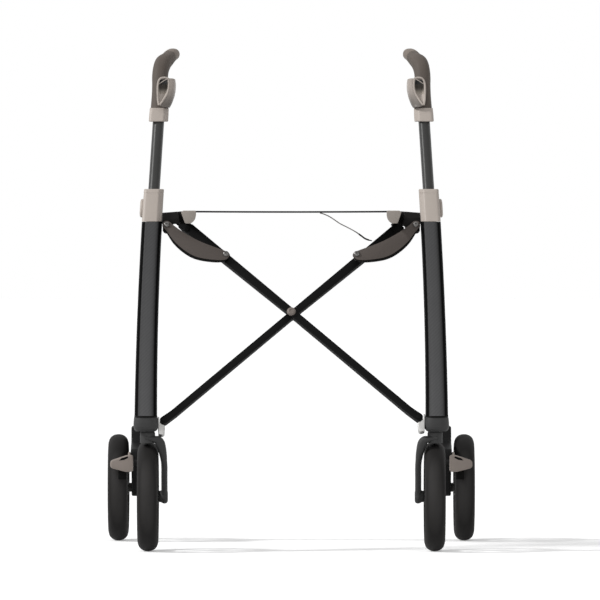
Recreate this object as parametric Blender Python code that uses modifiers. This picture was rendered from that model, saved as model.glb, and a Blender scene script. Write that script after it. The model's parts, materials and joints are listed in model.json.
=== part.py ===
"""A folding rollator with carbon legs, four wheels, a sling seat and a cross folding frame.

Metres, +Z up. The front faces -Y and X runs from side to side, with left and right as seen
from the front. The origin is on the floor, in the middle of the four wheels.
"""
from math import atan2, cos, hypot, pi, radians, sin, tan

import bmesh
import bpy
from mathutils import Matrix, Vector

RUN_GAP = 0.0003       # clearance between pieces that touch
TURN_GAP = 0.0008      # clearance round pieces that turn past each other
ROUND_STEPS = 16       # sides of a small round piece

# Wheels
WHEEL_RADIUS = 0.095
WHEEL_STEPS = 36
TYRE_WIDTH = 0.036
TYRE_TREAD = 0.010
TYRE_HEIGHT = 0.0228
RIM_RADIUS = WHEEL_RADIUS - TYRE_HEIGHT
RIM_WIDTH = 0.025
RIM_DEPTH = 0.011
SPOKE_COUNT = 5
SPOKE_PLATE = 0.008
HUB_RADIUS = 0.016
HUB_INBOARD = 0.0175
HUB_OUTBOARD = 0.0140
AXLE_RADIUS = 0.004
AXLE_HEAD_RADIUS = 0.0072
AXLE_HEAD = 0.003
WHEELBASE = 0.462
FRONT_TRACK = 0.4944
REAR_TRACK = 0.6152
FRONT_Y = -WHEELBASE / 2
REAR_Y = WHEELBASE / 2

# Casters
CASTER_TRAIL = 0.035
SWIVEL_Y = FRONT_Y - CASTER_TRAIL
CROWN_RADIUS = 0.013
CROWN_TO_TYRE = 0.0005
CROWN_BASE_Z = 2 * WHEEL_RADIUS + CROWN_TO_TYRE
CROWN_HEIGHT = 0.0175
STEM_RADIUS = 0.006
STEM_LENGTH = 0.018
HEAD_BASE_Z = CROWN_BASE_Z + CROWN_HEIGHT
HEAD_HEIGHT = 0.0253
HEAD_WIDTH = 0.0425
HEAD_DEPTH = 0.052
FORK_OUTBOARD = 0.0285
FORK_THICK = 0.0108
FORK_WIDTH = 0.028
FORK_BOSS_RADIUS = 0.0125

# Front legs: one gentle bend, back and inward on the way up
LEG_BASE_Z = HEAD_BASE_Z + HEAD_HEIGHT
LEG_TOP_Z = 0.5680
LEG_BASE_X = FRONT_TRACK / 2 + 0.0031
LEG_BASE_Y = SWIVEL_Y + 0.004
LEG_WIDTH_BASE = 0.0390
LEG_WIDTH_TOP = 0.0354
LEG_DEPTH = 0.0540
LEG_LEAN_BASE = 0.400
LEG_BEND_BACK = 0.164
LEG_BEND_IN = 0.073
LEG_STRAIGHT_Z = 0.620

# Telescopic posts, their sleeves and collars
POST_WIDTH = 0.0200
POST_DEPTH = 0.0340
POST_FOOT_Z = 0.500
POST_DROP = 0.090
SLEEVE_TOP_Z = 0.6250
SLEEVE_WIDTH = 0.0343
SLEEVE_DEPTH = 0.0500
COLLAR_BASE_Z = 0.7430
COLLAR_TOP_Z = 0.7672
COLLAR_WIDTH = 0.0336
COLLAR_DEPTH = 0.0410
CHAMFER_ACROSS = 0.0080
CHAMFER_BACK = 0.0120
BUTTON_LENGTH = 0.034
BUTTON_WIDTH = 0.020
BUTTON_PROUD = 0.0052
BUTTON_TRAVEL = 0.003
BUTTON_Z = 0.5915

# Grips and brake levers
GRIP_WIDTH = 0.0300
GRIP_DEPTH = 0.0360
GRIP_END_RADIUS = 0.0130
GRIP_END = (FRONT_TRACK / 2 - 0.0367, LEG_BASE_Y + 0.386, 0.8625)
LEVER_THICK = 0.0034
LEVER_PIVOT_Y = LEG_BASE_Y + 0.260
LEVER_PIVOT_Z = 0.778
LEVER_PIN_RADIUS = 0.0025
LEVER_REACH = 0.092

# Rear legs
REAR_LEG_WIDTH = 0.027
REAR_LEG_DEPTH = 0.040
REAR_LEG_FOOT_Z = 0.2043
HOUSING_OUTER_X = REAR_TRACK / 2 - TYRE_WIDTH / 2 - 0.0054
HOUSING_THICK = 0.021
HOUSING_TOP_DEPTH = 0.046
HOUSING_TOE_RADIUS = 0.0155
BRAKE_PIN_INSET = 0.002
BRAKE_PIN_Y = REAR_Y - WHEEL_RADIUS + BRAKE_PIN_INSET
BRAKE_PIN_Z = 0.156
BRAKE_PIN_RADIUS = 0.003

# Brake arms and shoes
ARM_TIP_X = REAR_TRACK / 2 + 0.0125
ARM_THICK = 0.010
ARM_FRONT_Y = BRAKE_PIN_Y - 0.021
SHOE_WIDTH = 0.015
SHOE_HEIGHT = 0.022
SHOE_TO_TYRE = 0.0028

# Cross frame, folding in a plane that leans back with the legs
PLANE_LEAN = radians(25.0)
LOW_PIVOT_X = LEG_BASE_X - 0.0308
LOW_PIVOT_DROP = 0.0057
LOW_PIVOT_Z = LEG_BASE_Z - LOW_PIVOT_DROP
CROSS_Z = 0.4100
BAR_HEIGHT = 0.0165
BAR_DEPTH = 0.0122
BAR_SPACING = 0.0008
TOP_PIVOT_X = LEG_BASE_X - 0.0688
TOP_PIVOT_Z = 0.5500
PIVOT_PIN_RADIUS = 0.003
CAP_RADIUS = 0.0077
BRACKET_WALL = 0.0018
LOW_EYE_RADIUS = 0.0069
TOP_EYE_RADIUS = 0.0078
BAR_TAPER = 0.022

# Link plates from the side frames to the cross bars
LINK_THICK = 0.004
LINK_BULGE = 0.028
LINK_TIP = 0.0095
LINK_FRAME_X = LEG_BASE_X - 0.0338
LINK_FRAME_Z = 0.5552
LINK_BAR_REACH = 0.154
LINK_SCREW_RADIUS = 0.0026
LUG_RADIUS = 0.0070
LINK_SLOT_DEPTH = 0.0024

# Seat
SEAT_TOP_Z = 0.5875
SEAT_THICK = 0.0030
RAIL_X = LEG_BASE_X - 0.0720
RAIL_TOP_WIDTH = 0.023
RAIL_HEIGHT = 0.0240
RAIL_FRONT_Y = LEG_BASE_Y + 0.122
RAIL_REAR_Y = LEG_BASE_Y + 0.350
RAIL_CAP = 0.0075
RAIL_CAP_WIDTH = 0.026
SHELF_LIP = 0.0055
CRADLE_FRONT_Y = LEG_BASE_Y + 0.146
CRADLE_DEPTH = 0.0560
REAR_CRADLE_Y = LEG_BASE_Y + 0.302
REAR_CRADLE_DEPTH = 0.030
CRADLE_SPREAD = 0.13
CRADLE_ROOT_INSET = 0.0071
CORD_RADIUS = 0.001

AXLE_Z = WHEEL_RADIUS * cos(pi / WHEEL_STEPS)
SEAT_UNDER_Z = SEAT_TOP_Z - SEAT_THICK
RAIL_BASE_Z = SEAT_TOP_Z - RAIL_HEIGHT

PLANE = Matrix((
    (1, 0, 0, 0),
    (0, sin(PLANE_LEAN), -cos(PLANE_LEAN), LEG_BASE_Y),
    (0, cos(PLANE_LEAN), sin(PLANE_LEAN), LOW_PIVOT_Z),
    (0, 0, 0, 1),
))


# Scene and materials

def clear_scene():
    """Remove every object that the scene starts with."""
    for old in list(bpy.data.objects):
        bpy.data.objects.remove(old, do_unlink=True)


def collection(name):
    """A new collection, linked to the scene."""
    made = bpy.data.collections.new(name)
    bpy.context.scene.collection.children.link(made)
    return made


def finish(name, colour, roughness, metallic=0.0):
    """A plain Principled material."""
    made = bpy.data.materials.new(name)
    made.use_nodes = True
    shader = made.node_tree.nodes["Principled BSDF"]
    shader.inputs["Base Color"].default_value = (*colour, 1.0)
    shader.inputs["Roughness"].default_value = roughness
    shader.inputs["Metallic"].default_value = metallic
    return made


clear_scene()
PARTS = collection("carbon_rollator")
CUTTERS = collection("cutters")

CARBON = finish("glossy_carbon", (0.045, 0.045, 0.047), 0.22)
BLACK = finish("black_nylon", (0.012, 0.012, 0.012), 0.5)
BAR_BLACK = finish("black_anodised_bar", (0.010, 0.010, 0.011), 0.35, 0.4)
BEIGE = finish("beige_moulding", (0.46, 0.40, 0.35), 0.45)
TAUPE = finish("taupe_plate", (0.13, 0.11, 0.10), 0.5)
GRIP = finish("taupe_grip", (0.09, 0.075, 0.065), 0.7)
RUBBER = finish("tyre_rubber", (0.02, 0.018, 0.018), 0.75)
RIM = finish("rim_nylon", (0.025, 0.024, 0.024), 0.5)
STEEL = finish("bright_steel", (0.5, 0.5, 0.5), 0.3, 1.0)
POST = finish("anodised_post", (0.06, 0.06, 0.058), 0.35, 0.6)
CLOTH = finish("seat_cloth", (0.03, 0.03, 0.03), 0.85)


# Shapes

def solid(name, bm, material, place=None):
    """An object in the parts collection, with its faces pointing outwards."""
    bmesh.ops.remove_doubles(bm, verts=bm.verts, dist=1e-6)
    bmesh.ops.recalc_face_normals(bm, faces=bm.faces)
    mesh = bpy.data.meshes.new(name)
    bm.to_mesh(mesh)
    bm.free()
    if place is not None:
        mesh.transform(place)
        if place.to_3x3().determinant() < 0:
            mesh.flip_normals()
    mesh.materials.append(material)
    mesh.shade_smooth()
    mesh.set_sharp_from_angle(angle=radians(35))
    made = bpy.data.objects.new(name, mesh)
    PARTS.objects.link(made)
    return made


def loft(name, rings, material):
    """A closed skin over rings of equally many points, with a flat cap at each end."""
    bm = bmesh.new()
    loops = [[bm.verts.new(point) for point in ring] for ring in rings]
    count = len(rings[0])
    for low, high in zip(loops, loops[1:]):
        for i in range(count):
            j = (i + 1) % count
            bm.faces.new((low[i], low[j], high[j], high[i]))
    bm.faces.new(loops[0][::-1])
    bm.faces.new(loops[-1])
    return solid(name, bm, material)


def oval(width, depth, squareness=2.6, count=18):
    """Points of a rounded section, width along X and depth along Y."""
    points = []
    for i in range(count):
        turn = 2 * pi * (i + 0.5) / count
        c, s = cos(turn), sin(turn)
        x = width / 2 * abs(c) ** (2 / squareness) * (1 if c > 0 else -1)
        y = depth / 2 * abs(s) ** (2 / squareness) * (1 if s > 0 else -1)
        points.append((x, y))
    return points


def fillet(corners, radii, steps=3):
    """A closed outline whose corners are rounded by arcs of the given radii."""
    points = []
    count = len(corners)
    for i, corner in enumerate(corners):
        here = Vector(corner)
        back = (Vector(corners[i - 1]) - here)
        ahead = (Vector(corners[(i + 1) % count]) - here)
        radius = radii[i] if isinstance(radii, (list, tuple)) else radii
        if radius <= 0:
            points.append(tuple(here))
            continue
        half = back.angle(ahead) / 2
        cut = min(radius / tan(half), 0.48 * back.length, 0.48 * ahead.length)
        radius = cut * tan(half)
        centre = here + (back.normalized() + ahead.normalized()).normalized() * hypot(cut, radius)
        start = here + back.normalized() * cut - centre
        sweep = start.angle_signed(here + ahead.normalized() * cut - centre)
        for k in range(steps + 1):
            turn = Matrix.Rotation(-sweep * k / steps, 2)
            points.append(tuple(centre + turn @ start))
    return points


def arc(centre, radius, start, end, steps):
    """Points on an arc, from one angle to another in degrees."""
    turns = [radians(start + (end - start) * k / steps) for k in range(steps + 1)]
    return [(centre[0] + radius * cos(t), centre[1] + radius * sin(t)) for t in turns]


def smooth(points, steps=4, closed=False):
    """Points on a smooth curve through the given ones."""
    path = [Vector(p) for p in points]
    count = len(path)
    spans = count if closed else count - 1
    made = []
    for i in range(spans):
        p1, p2 = path[i], path[(i + 1) % count]
        p0 = path[i - 1] if closed or i > 0 else p1 * 2 - p2
        p3 = path[(i + 2) % count] if closed or i + 2 < count else p2 * 2 - p1
        for k in range(steps):
            t = k / steps
            made.append(0.5 * (2 * p1 + (p2 - p0) * t + (2 * p0 - 5 * p1 + 4 * p2 - p3) * t ** 2
                               + (3 * p1 - p0 - 3 * p2 + p3) * t ** 3))
    if not closed:
        made.append(path[-1])
    return made


def inset(outline, distance):
    """A closed outline moved inwards by a distance."""
    points = [Vector(p) for p in outline]
    area = sum(a.cross(b) for a, b in zip(points, points[1:] + points[:1]))
    inward = distance if area > 0 else -distance
    moved = []
    for i, point in enumerate(points):
        first = (point - points[i - 1]).normalized().orthogonal()
        second = (points[(i + 1) % len(points)] - point).normalized().orthogonal()
        moved.append(tuple(point + (first + second) * inward / (1 + first.dot(second))))
    return moved


def bevelled(name, outline, thickness, material, place, low, bevel, holes=()):
    """A flat outline with chamfered rims, from height low up by thickness along Z of place."""
    high = low + thickness
    small = inset(outline, bevel)
    levels = [(small, low), (outline, low + bevel), (outline, high - bevel), (small, high)]
    rings = [[place @ Vector((x, y, z)) for x, y in section] for section, z in levels]
    made = loft(name, rings, material)
    for i, hole in enumerate(holes):
        ends = [[place @ Vector((x, y, z)) for x, y in hole] for z in (low - bevel, high + bevel)]
        cut(made, loft(f"{name}_hole_{i + 1}", ends, material))
    return made


def plate(name, outlines, thickness, material, place, low=0.0):
    """A flat outline, with its holes after it, from height low up by thickness along Z of place."""
    curve = bpy.data.curves.new(name, "CURVE")
    curve.dimensions = "2D"
    curve.fill_mode = "BOTH"
    curve.extrude = thickness / 2
    for outline in outlines:
        spline = curve.splines.new("POLY")
        spline.points.add(len(outline) - 1)
        for point, (x, y) in zip(spline.points, outline):
            point.co = (x, y, 0, 1)
        spline.use_cyclic_u = True
    guide = bpy.data.objects.new(name, curve)
    PARTS.objects.link(guide)
    bpy.context.view_layer.update()
    evaluated = guide.evaluated_get(bpy.context.evaluated_depsgraph_get())
    mesh = bpy.data.meshes.new_from_object(evaluated)
    bm = bmesh.new()
    bm.from_mesh(mesh)
    bpy.data.objects.remove(guide)
    bpy.data.curves.remove(curve)
    bpy.data.meshes.remove(mesh)
    bmesh.ops.remove_doubles(bm, verts=bm.verts, dist=1e-6)
    bmesh.ops.translate(bm, verts=bm.verts, vec=(0, 0, low + thickness / 2))
    return solid(name, bm, material, place)


def turned(name, profile, material, place, steps=ROUND_STEPS, ring=False):
    """A profile of (radius, height) points, top to bottom down its outer side, turned about Z."""
    mesh = bpy.data.meshes.new(name)
    edges = [(i, i + 1) for i in range(len(profile) - 1)]
    if ring:
        edges.append((len(profile) - 1, 0))
    mesh.from_pydata([(r, 0, z) for r, z in profile], edges, [])
    made = bpy.data.objects.new(name, mesh)
    PARTS.objects.link(made)
    screw = made.modifiers.new("Screw", "SCREW")
    screw.steps = steps
    screw.render_steps = steps
    screw.use_merge_vertices = True
    screw.merge_threshold = 1e-5
    bpy.context.view_layer.update()
    evaluated = made.evaluated_get(bpy.context.evaluated_depsgraph_get())
    spun = bpy.data.meshes.new_from_object(evaluated)
    bpy.data.objects.remove(made)
    bm = bmesh.new()
    bm.from_mesh(spun)
    bpy.data.meshes.remove(spun)
    return solid(name, bm, material, place)


def rod(name, radius, start, end, material, steps=ROUND_STEPS):
    """A plain round rod between two points."""
    start, end = Vector(start), Vector(end)
    bm = bmesh.new()
    bmesh.ops.create_cone(bm, cap_ends=True, segments=steps, radius1=radius, radius2=radius,
                          depth=(end - start).length)
    turn = Vector((0, 0, 1)).rotation_difference(end - start).to_matrix().to_4x4()
    return solid(name, bm, material, Matrix.Translation((start + end) / 2) @ turn)


def box(name, low, high, material, bevel=0.0, place=None):
    """A box between two corners, with its edges rounded where bevel is given."""
    low, high = Vector(low), Vector(high)
    bm = bmesh.new()
    bmesh.ops.create_cube(bm, size=1.0)
    bmesh.ops.scale(bm, verts=bm.verts, vec=high - low)
    bmesh.ops.translate(bm, verts=bm.verts, vec=(low + high) / 2)
    if bevel:
        bmesh.ops.bevel(bm, geom=list(bm.edges), offset=bevel, offset_type="OFFSET",
                        affect="EDGES", segments=2, profile=0.5, material=-1)
    return solid(name, bm, material, place)


def boolean(target, tool, operation):
    """Join a tool to a target, or cut it away, and put the tool with the cutters."""
    modifier = target.modifiers.new(tool.name, "BOOLEAN")
    modifier.operation = operation
    modifier.solver = "EXACT"
    modifier.object = tool
    tool.hide_render = True
    tool.display_type = "WIRE"
    PARTS.objects.unlink(tool)
    CUTTERS.objects.link(tool)


def join(target, *tools):
    """Fuse shapes into a target."""
    for tool in tools:
        boolean(target, tool, "UNION")


def cut(target, *tools):
    """Take shapes away from a target."""
    for tool in tools:
        boolean(target, tool, "DIFFERENCE")


def carry(name, point, pieces):
    """Hang moving pieces on an empty that stands on their joint's axis."""
    pivot = bpy.data.objects.new(name, None)
    pivot.location = point
    PARTS.objects.link(pivot)
    bpy.context.view_layer.update()
    for piece in pieces:
        piece.parent = pivot
        piece.matrix_parent_inverse = pivot.matrix_world.inverted()
    return pivot


def frame_at(centre, along, across=Vector((1, 0, 0))):
    """A matrix at a point, with Z along a direction and X as near as can be to another."""
    z = Vector(along).normalized()
    y = z.cross(Vector(across)).normalized()
    x = y.cross(z)
    return Matrix.Translation(centre) @ Matrix((x, y, z)).transposed().to_4x4()


def ring_at(section, place):
    """A section's points, put in place."""
    return [place @ Vector((x, y, 0)) for x, y in section]


def in_plane(x, height, forward=0.0):
    """A point of the folding plane, from its X, its world height and its distance in front."""
    return PLANE @ Vector((x, (height - LOW_PIVOT_Z) / cos(PLANE_LEAN), forward))


def flat_ring(section, x, y, z, side):
    """A level section round a point, mirrored for the left side."""
    return [(side * (x + px), y + py, z) for px, py in section]


# Lines that many pieces share

def leg_point(z):
    """The front leg's centre line at a height, as (x, y) of the right leg."""
    rise = z - LEG_BASE_Z
    y = LEG_BASE_Y + LEG_LEAN_BASE * rise + LEG_BEND_BACK * rise ** 2
    x = LEG_BASE_X - LEG_BEND_IN * max(0.0, rise) ** 2
    return x, y


def post_slope():
    """How far the straight post goes in and back for each metre up."""
    rise = LEG_STRAIGHT_Z - LEG_BASE_Z
    return -2 * LEG_BEND_IN * rise, LEG_LEAN_BASE + 2 * LEG_BEND_BACK * rise


def post_point(z):
    """The straight post's centre line at a height, as (x, y) of the right post."""
    x, y = leg_point(LEG_STRAIGHT_Z)
    inward, back = post_slope()
    return x + inward * (z - LEG_STRAIGHT_Z), y + back * (z - LEG_STRAIGHT_Z)


def post_ring(z, width, depth, side, squareness=2.6, count=16):
    """A level ring round the post's line."""
    x, y = post_point(z)
    return flat_ring(oval(width, depth, squareness, count), x, y, z, side)


def moulded_ring(z, width, depth, side):
    """A level ring of a sleeve or collar, flat in front with a broad chamfer on its inner corner."""
    x, y = post_point(z)
    w, d = width / 2, depth / 2
    corners = [(w, -d), (w, d), (-w, d), (-w, -d + CHAMFER_BACK), (-w + CHAMFER_ACROSS, -d)]
    section = fillet(corners, [0.006, 0.010, 0.010, 0.004, 0.004], 3)
    return flat_ring(section, x, y, z, side)


def seat_of_pivot(side):
    """The cross bars' pivots in plane coordinates: low, centre and top, for the bar on one side."""
    climb = 1 / cos(PLANE_LEAN)
    low = Vector((-side * LOW_PIVOT_X, 0.0))
    centre = Vector((0.0, (CROSS_Z - LOW_PIVOT_Z) * climb))
    top = Vector((side * TOP_PIVOT_X, (TOP_PIVOT_Z - LOW_PIVOT_Z) * climb))
    return low, centre, top


# Pieces of one side

def wheel_place(x, y, side, half_step=True):
    """A wheel's place: its turning axis points outboard, and a tread facet faces the floor."""
    turn = Matrix.Rotation(side * pi / 2, 4, "Y")
    facet = Matrix.Rotation(pi / WHEEL_STEPS if half_step else 0.0, 4, "Z")
    return Matrix.Translation((side * x, y, AXLE_Z)) @ turn @ facet


def tyre(name, x, y, side):
    """A solid rubber tyre with a rounded crown and a narrow flat tread."""
    w, r = TYRE_WIDTH / 2, WHEEL_RADIUS
    seat, tread = RIM_RADIUS + 2 * RUN_GAP, TYRE_TREAD / 2
    half = [(seat, RIM_WIDTH / 2), (r - 0.0165, w), (r - 0.0075, w - 0.0028),
            (r - 0.0020, w - 0.0086), (r, tread)]
    profile = half + [(radius, -z) for radius, z in reversed(half)]
    return turned(name, profile, RUBBER, wheel_place(x, y, side), WHEEL_STEPS, ring=True)


def wheel_window():
    """One opening between two spokes, as an outline round the wheel's axis."""
    inner, outer = HUB_RADIUS + 0.006, RIM_RADIUS - RIM_DEPTH - 0.002
    half = 180 / SPOKE_COUNT
    edge_in, edge_out = half - 19, half - 6
    corners = arc((0, 0), outer, -edge_out, edge_out, 4) + [
        (inner * cos(radians(edge_in)), inner * sin(radians(edge_in))),
        (inner * cos(radians(-edge_in)), inner * sin(radians(-edge_in)))]
    return corners


def rim(name, x, y, side):
    """A rim with a hollow spoke plate and a hub, bored for its axle."""
    place = wheel_place(x, y, side)
    r, w = RIM_RADIUS, RIM_WIDTH / 2
    profile = [(r, w), (r, -w), (r - RIM_DEPTH, -w + 0.004), (r - RIM_DEPTH, w - 0.004)]
    made = turned(name, profile, RIM, place, WHEEL_STEPS, ring=True)
    windows = []
    for i in range(SPOKE_COUNT):
        turn = Matrix.Rotation(2 * pi * i / SPOKE_COUNT, 2)
        windows.append([tuple(turn @ Vector(p)) for p in wheel_window()])
    disc = arc((0, 0), r - RIM_DEPTH / 2, 0, 336, 14)
    spokes = plate(name + "_spokes", [disc] + windows, SPOKE_PLATE, RIM, place, -SPOKE_PLATE / 2)
    hub = turned(name + "_hub", [(0, HUB_OUTBOARD), (HUB_RADIUS - 0.002, HUB_OUTBOARD),
                                 (HUB_RADIUS, HUB_OUTBOARD - 0.003),
                                 (HUB_RADIUS, -HUB_INBOARD), (0, -HUB_INBOARD)],
                 RIM, place, 15)
    bore = turned(name + "_bore", [(0, 0.05), (AXLE_RADIUS + RUN_GAP, 0.05),
                                   (AXLE_RADIUS + RUN_GAP, -0.05), (0, -0.05)],
                  RIM, place, 10)
    join(made, spokes, hub)
    cut(made, bore)
    return made


def axle(name, x, y, side, inner_x, shoulder_x=None):
    """A wheel bolt: its head outboard, its shank through the hub, and a shoulder where given."""
    head = HUB_OUTBOARD + RUN_GAP
    end = inner_x - x
    profile = [(0, head + AXLE_HEAD), (AXLE_HEAD_RADIUS - 0.001, head + AXLE_HEAD),
               (AXLE_HEAD_RADIUS, head + AXLE_HEAD - 0.001), (AXLE_HEAD_RADIUS, head),
               (AXLE_RADIUS, head)]
    if shoulder_x is not None:
        near = -HUB_INBOARD - RUN_GAP
        far = shoulder_x - x
        profile += [(AXLE_RADIUS, near), (2 * AXLE_RADIUS, near), (2 * AXLE_RADIUS, far),
                    (AXLE_RADIUS, far)]
    profile += [(AXLE_RADIUS, end), (0, end)]
    return turned(name, profile, STEEL, wheel_place(x, y, side, False), 12)


def front_leg(name, side):
    """The curved carbon leg, open at its top for the post."""
    rings = []
    for i in range(8):
        share = i / 7
        z = LEG_BASE_Z + (LEG_TOP_Z - LEG_BASE_Z) * share
        width = LEG_WIDTH_BASE + (LEG_WIDTH_TOP - LEG_WIDTH_BASE) * (1 - (1 - share) ** 1.6)
        x, y = leg_point(z)
        rings.append(flat_ring(oval(width, LEG_DEPTH, 3.2), x, y, z, side))
    made = loft(name, rings, CARBON)
    floor = POST_FOOT_Z - POST_DROP - 0.006
    grown = 2 * TURN_GAP
    bore = loft(name + "_bore", [post_ring(z, POST_WIDTH + grown, POST_DEPTH + grown, side)
                                 for z in (floor, LEG_TOP_Z + 0.01)], CARBON)
    cut(made, bore)
    return made


def leg_sleeve(name, side):
    """The moulded sleeve on top of the leg, bored for the post and pocketed for its button."""
    low = LEG_TOP_Z + RUN_GAP
    lip = 0.002
    rings = [moulded_ring(low, SLEEVE_WIDTH, SLEEVE_DEPTH, side),
             moulded_ring(SLEEVE_TOP_Z - lip, SLEEVE_WIDTH, SLEEVE_DEPTH, side),
             moulded_ring(SLEEVE_TOP_Z, SLEEVE_WIDTH - lip, SLEEVE_DEPTH - lip, side)]
    made = loft(name, rings, BEIGE)
    grown = 2 * TURN_GAP
    bore = loft(name + "_bore", [post_ring(z, POST_WIDTH + grown, POST_DEPTH + grown, side)
                                 for z in (low - 0.01, SLEEVE_TOP_Z + 0.01)], BEIGE)
    pocket = lozenge(name + "_pocket", side, TURN_GAP, 0.01, -BUTTON_TRAVEL - TURN_GAP - 0.0008)
    cut(made, bore, pocket)
    return made


def lozenge(name, side, grow, top, bottom):
    """A rounded button shape on the sleeve's outer face, between two heights over that face."""
    x, y = post_point(BUTTON_Z)
    inward, back = post_slope()
    face = side * (x + SLEEVE_WIDTH / 2)
    place = frame_at((face, y, BUTTON_Z), (side, 0, -inward), (0, back, 1))
    crown = BUTTON_WIDTH / 5
    rings = [ring_at(oval(BUTTON_LENGTH + 2 * grow, BUTTON_WIDTH + 2 * grow, 2.3, 16),
                     place @ Matrix.Translation((0, 0, bottom)))]
    if grow:
        rings.append(ring_at(oval(BUTTON_LENGTH + 2 * grow, BUTTON_WIDTH + 2 * grow, 2.3, 16),
                             place @ Matrix.Translation((0, 0, top))))
    else:
        for share, shrink in ((0.55, 0.0), (0.85, crown), (1.0, 2.4 * crown)):
            rings.append(ring_at(oval(BUTTON_LENGTH - shrink, BUTTON_WIDTH - shrink, 2.3, 16),
                                 place @ Matrix.Translation((0, 0, top * share))))
    return loft(name, rings, BEIGE)


def handle_post(name, side):
    """The oval telescopic post, from inside the leg up into the grip."""
    rings = [post_ring(z, POST_WIDTH, POST_DEPTH, side)
             for z in (POST_FOOT_Z, LEG_STRAIGHT_Z, COLLAR_TOP_Z + 0.014)]
    return loft(name, rings, POST)


def post_collar(name, side):
    """The moulded collar under the grip."""
    lip = 0.0015
    rings = [moulded_ring(COLLAR_BASE_Z, COLLAR_WIDTH - lip, COLLAR_DEPTH - lip, side),
             moulded_ring(COLLAR_BASE_Z + lip, COLLAR_WIDTH, COLLAR_DEPTH, side),
             moulded_ring(COLLAR_TOP_Z, COLLAR_WIDTH - 0.001, COLLAR_DEPTH, side)]
    made = loft(name, rings, BEIGE)
    grown = 2 * RUN_GAP
    bore = loft(name + "_bore", [post_ring(z, POST_WIDTH + grown, POST_DEPTH + grown, side)
                                 for z in (COLLAR_BASE_Z - 0.01, COLLAR_TOP_Z + 0.01)], BEIGE)
    cut(made, bore)
    return made


def grip_path():
    """The grip's centre line, from the collar up and round to its end behind."""
    base = COLLAR_TOP_Z + RUN_GAP
    inward, back = post_slope()
    x, y = post_point(base)
    end = Vector(GRIP_END)
    points = [(x, y, base), (x + inward * 0.02, y + back * 0.02, base + 0.02),
              (x + inward * 0.045, y + back * 0.048, base + 0.045),
              (x - 0.0025, y + 0.040, base + 0.0655),
              end + Vector((0.0160, -0.0650, -0.0155)), end + Vector((0.0080, -0.0370, -0.0050)),
              end + Vector((0.0025, -0.0130, -0.0005)), end]
    return smooth(points, 2)


def hand_grip(name, side):
    """The swept grip, hollow at its foot for the post, with the stud that the lever turns on."""
    path = grip_path()
    rings = []
    last = len(path) - 1
    for i, point in enumerate(path):
        along = path[min(i + 1, last)] - path[max(i - 1, 0)]
        level = max(0.0, 1 - i / 4)
        tangent = along.normalized().lerp(Vector((0, 0, 1)), level)
        share = min(1.0, i / (last - 3))
        width = GRIP_WIDTH + (2 * GRIP_END_RADIUS - GRIP_WIDTH) * share
        depth = GRIP_DEPTH + (2 * GRIP_END_RADIUS - GRIP_DEPTH) * share
        place = frame_at(point, tangent)
        section = oval(width, depth, 2.3, 14)
        rings.append([(side * p.x, p.y, p.z) for p in ring_at(section, place)])
    along = (path[-1] - path[-2]).normalized()
    for reach, shrink in ((0.30, 0.96), (0.62, 0.80), (0.85, 0.55)):
        place = frame_at(path[-1] + along * GRIP_END_RADIUS * reach, along)
        section = oval(2 * GRIP_END_RADIUS * shrink, 2 * GRIP_END_RADIUS * shrink, 2.3, 14)
        rings.append([(side * p.x, p.y, p.z) for p in ring_at(section, place)])
    made = loft(name, rings, GRIP)
    grown = 2 * RUN_GAP
    low = COLLAR_TOP_Z - 0.01
    socket = loft(name + "_socket", [post_ring(z, POST_WIDTH + grown, POST_DEPTH + grown, side)
                                     for z in (low, COLLAR_TOP_Z + 0.014 + RUN_GAP)], GRIP)
    cut(made, socket)
    x, _ = post_point(LEVER_PIVOT_Z)
    inner = x - GRIP_WIDTH / 2
    stud = rod(name + "_stud", LEVER_PIN_RADIUS,
               (side * (inner + 0.003), LEVER_PIVOT_Y, LEVER_PIVOT_Z),
               (side * (inner - 0.0135), LEVER_PIVOT_Y, LEVER_PIVOT_Z), STEEL, 12)
    join(made, stud)
    return made


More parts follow.
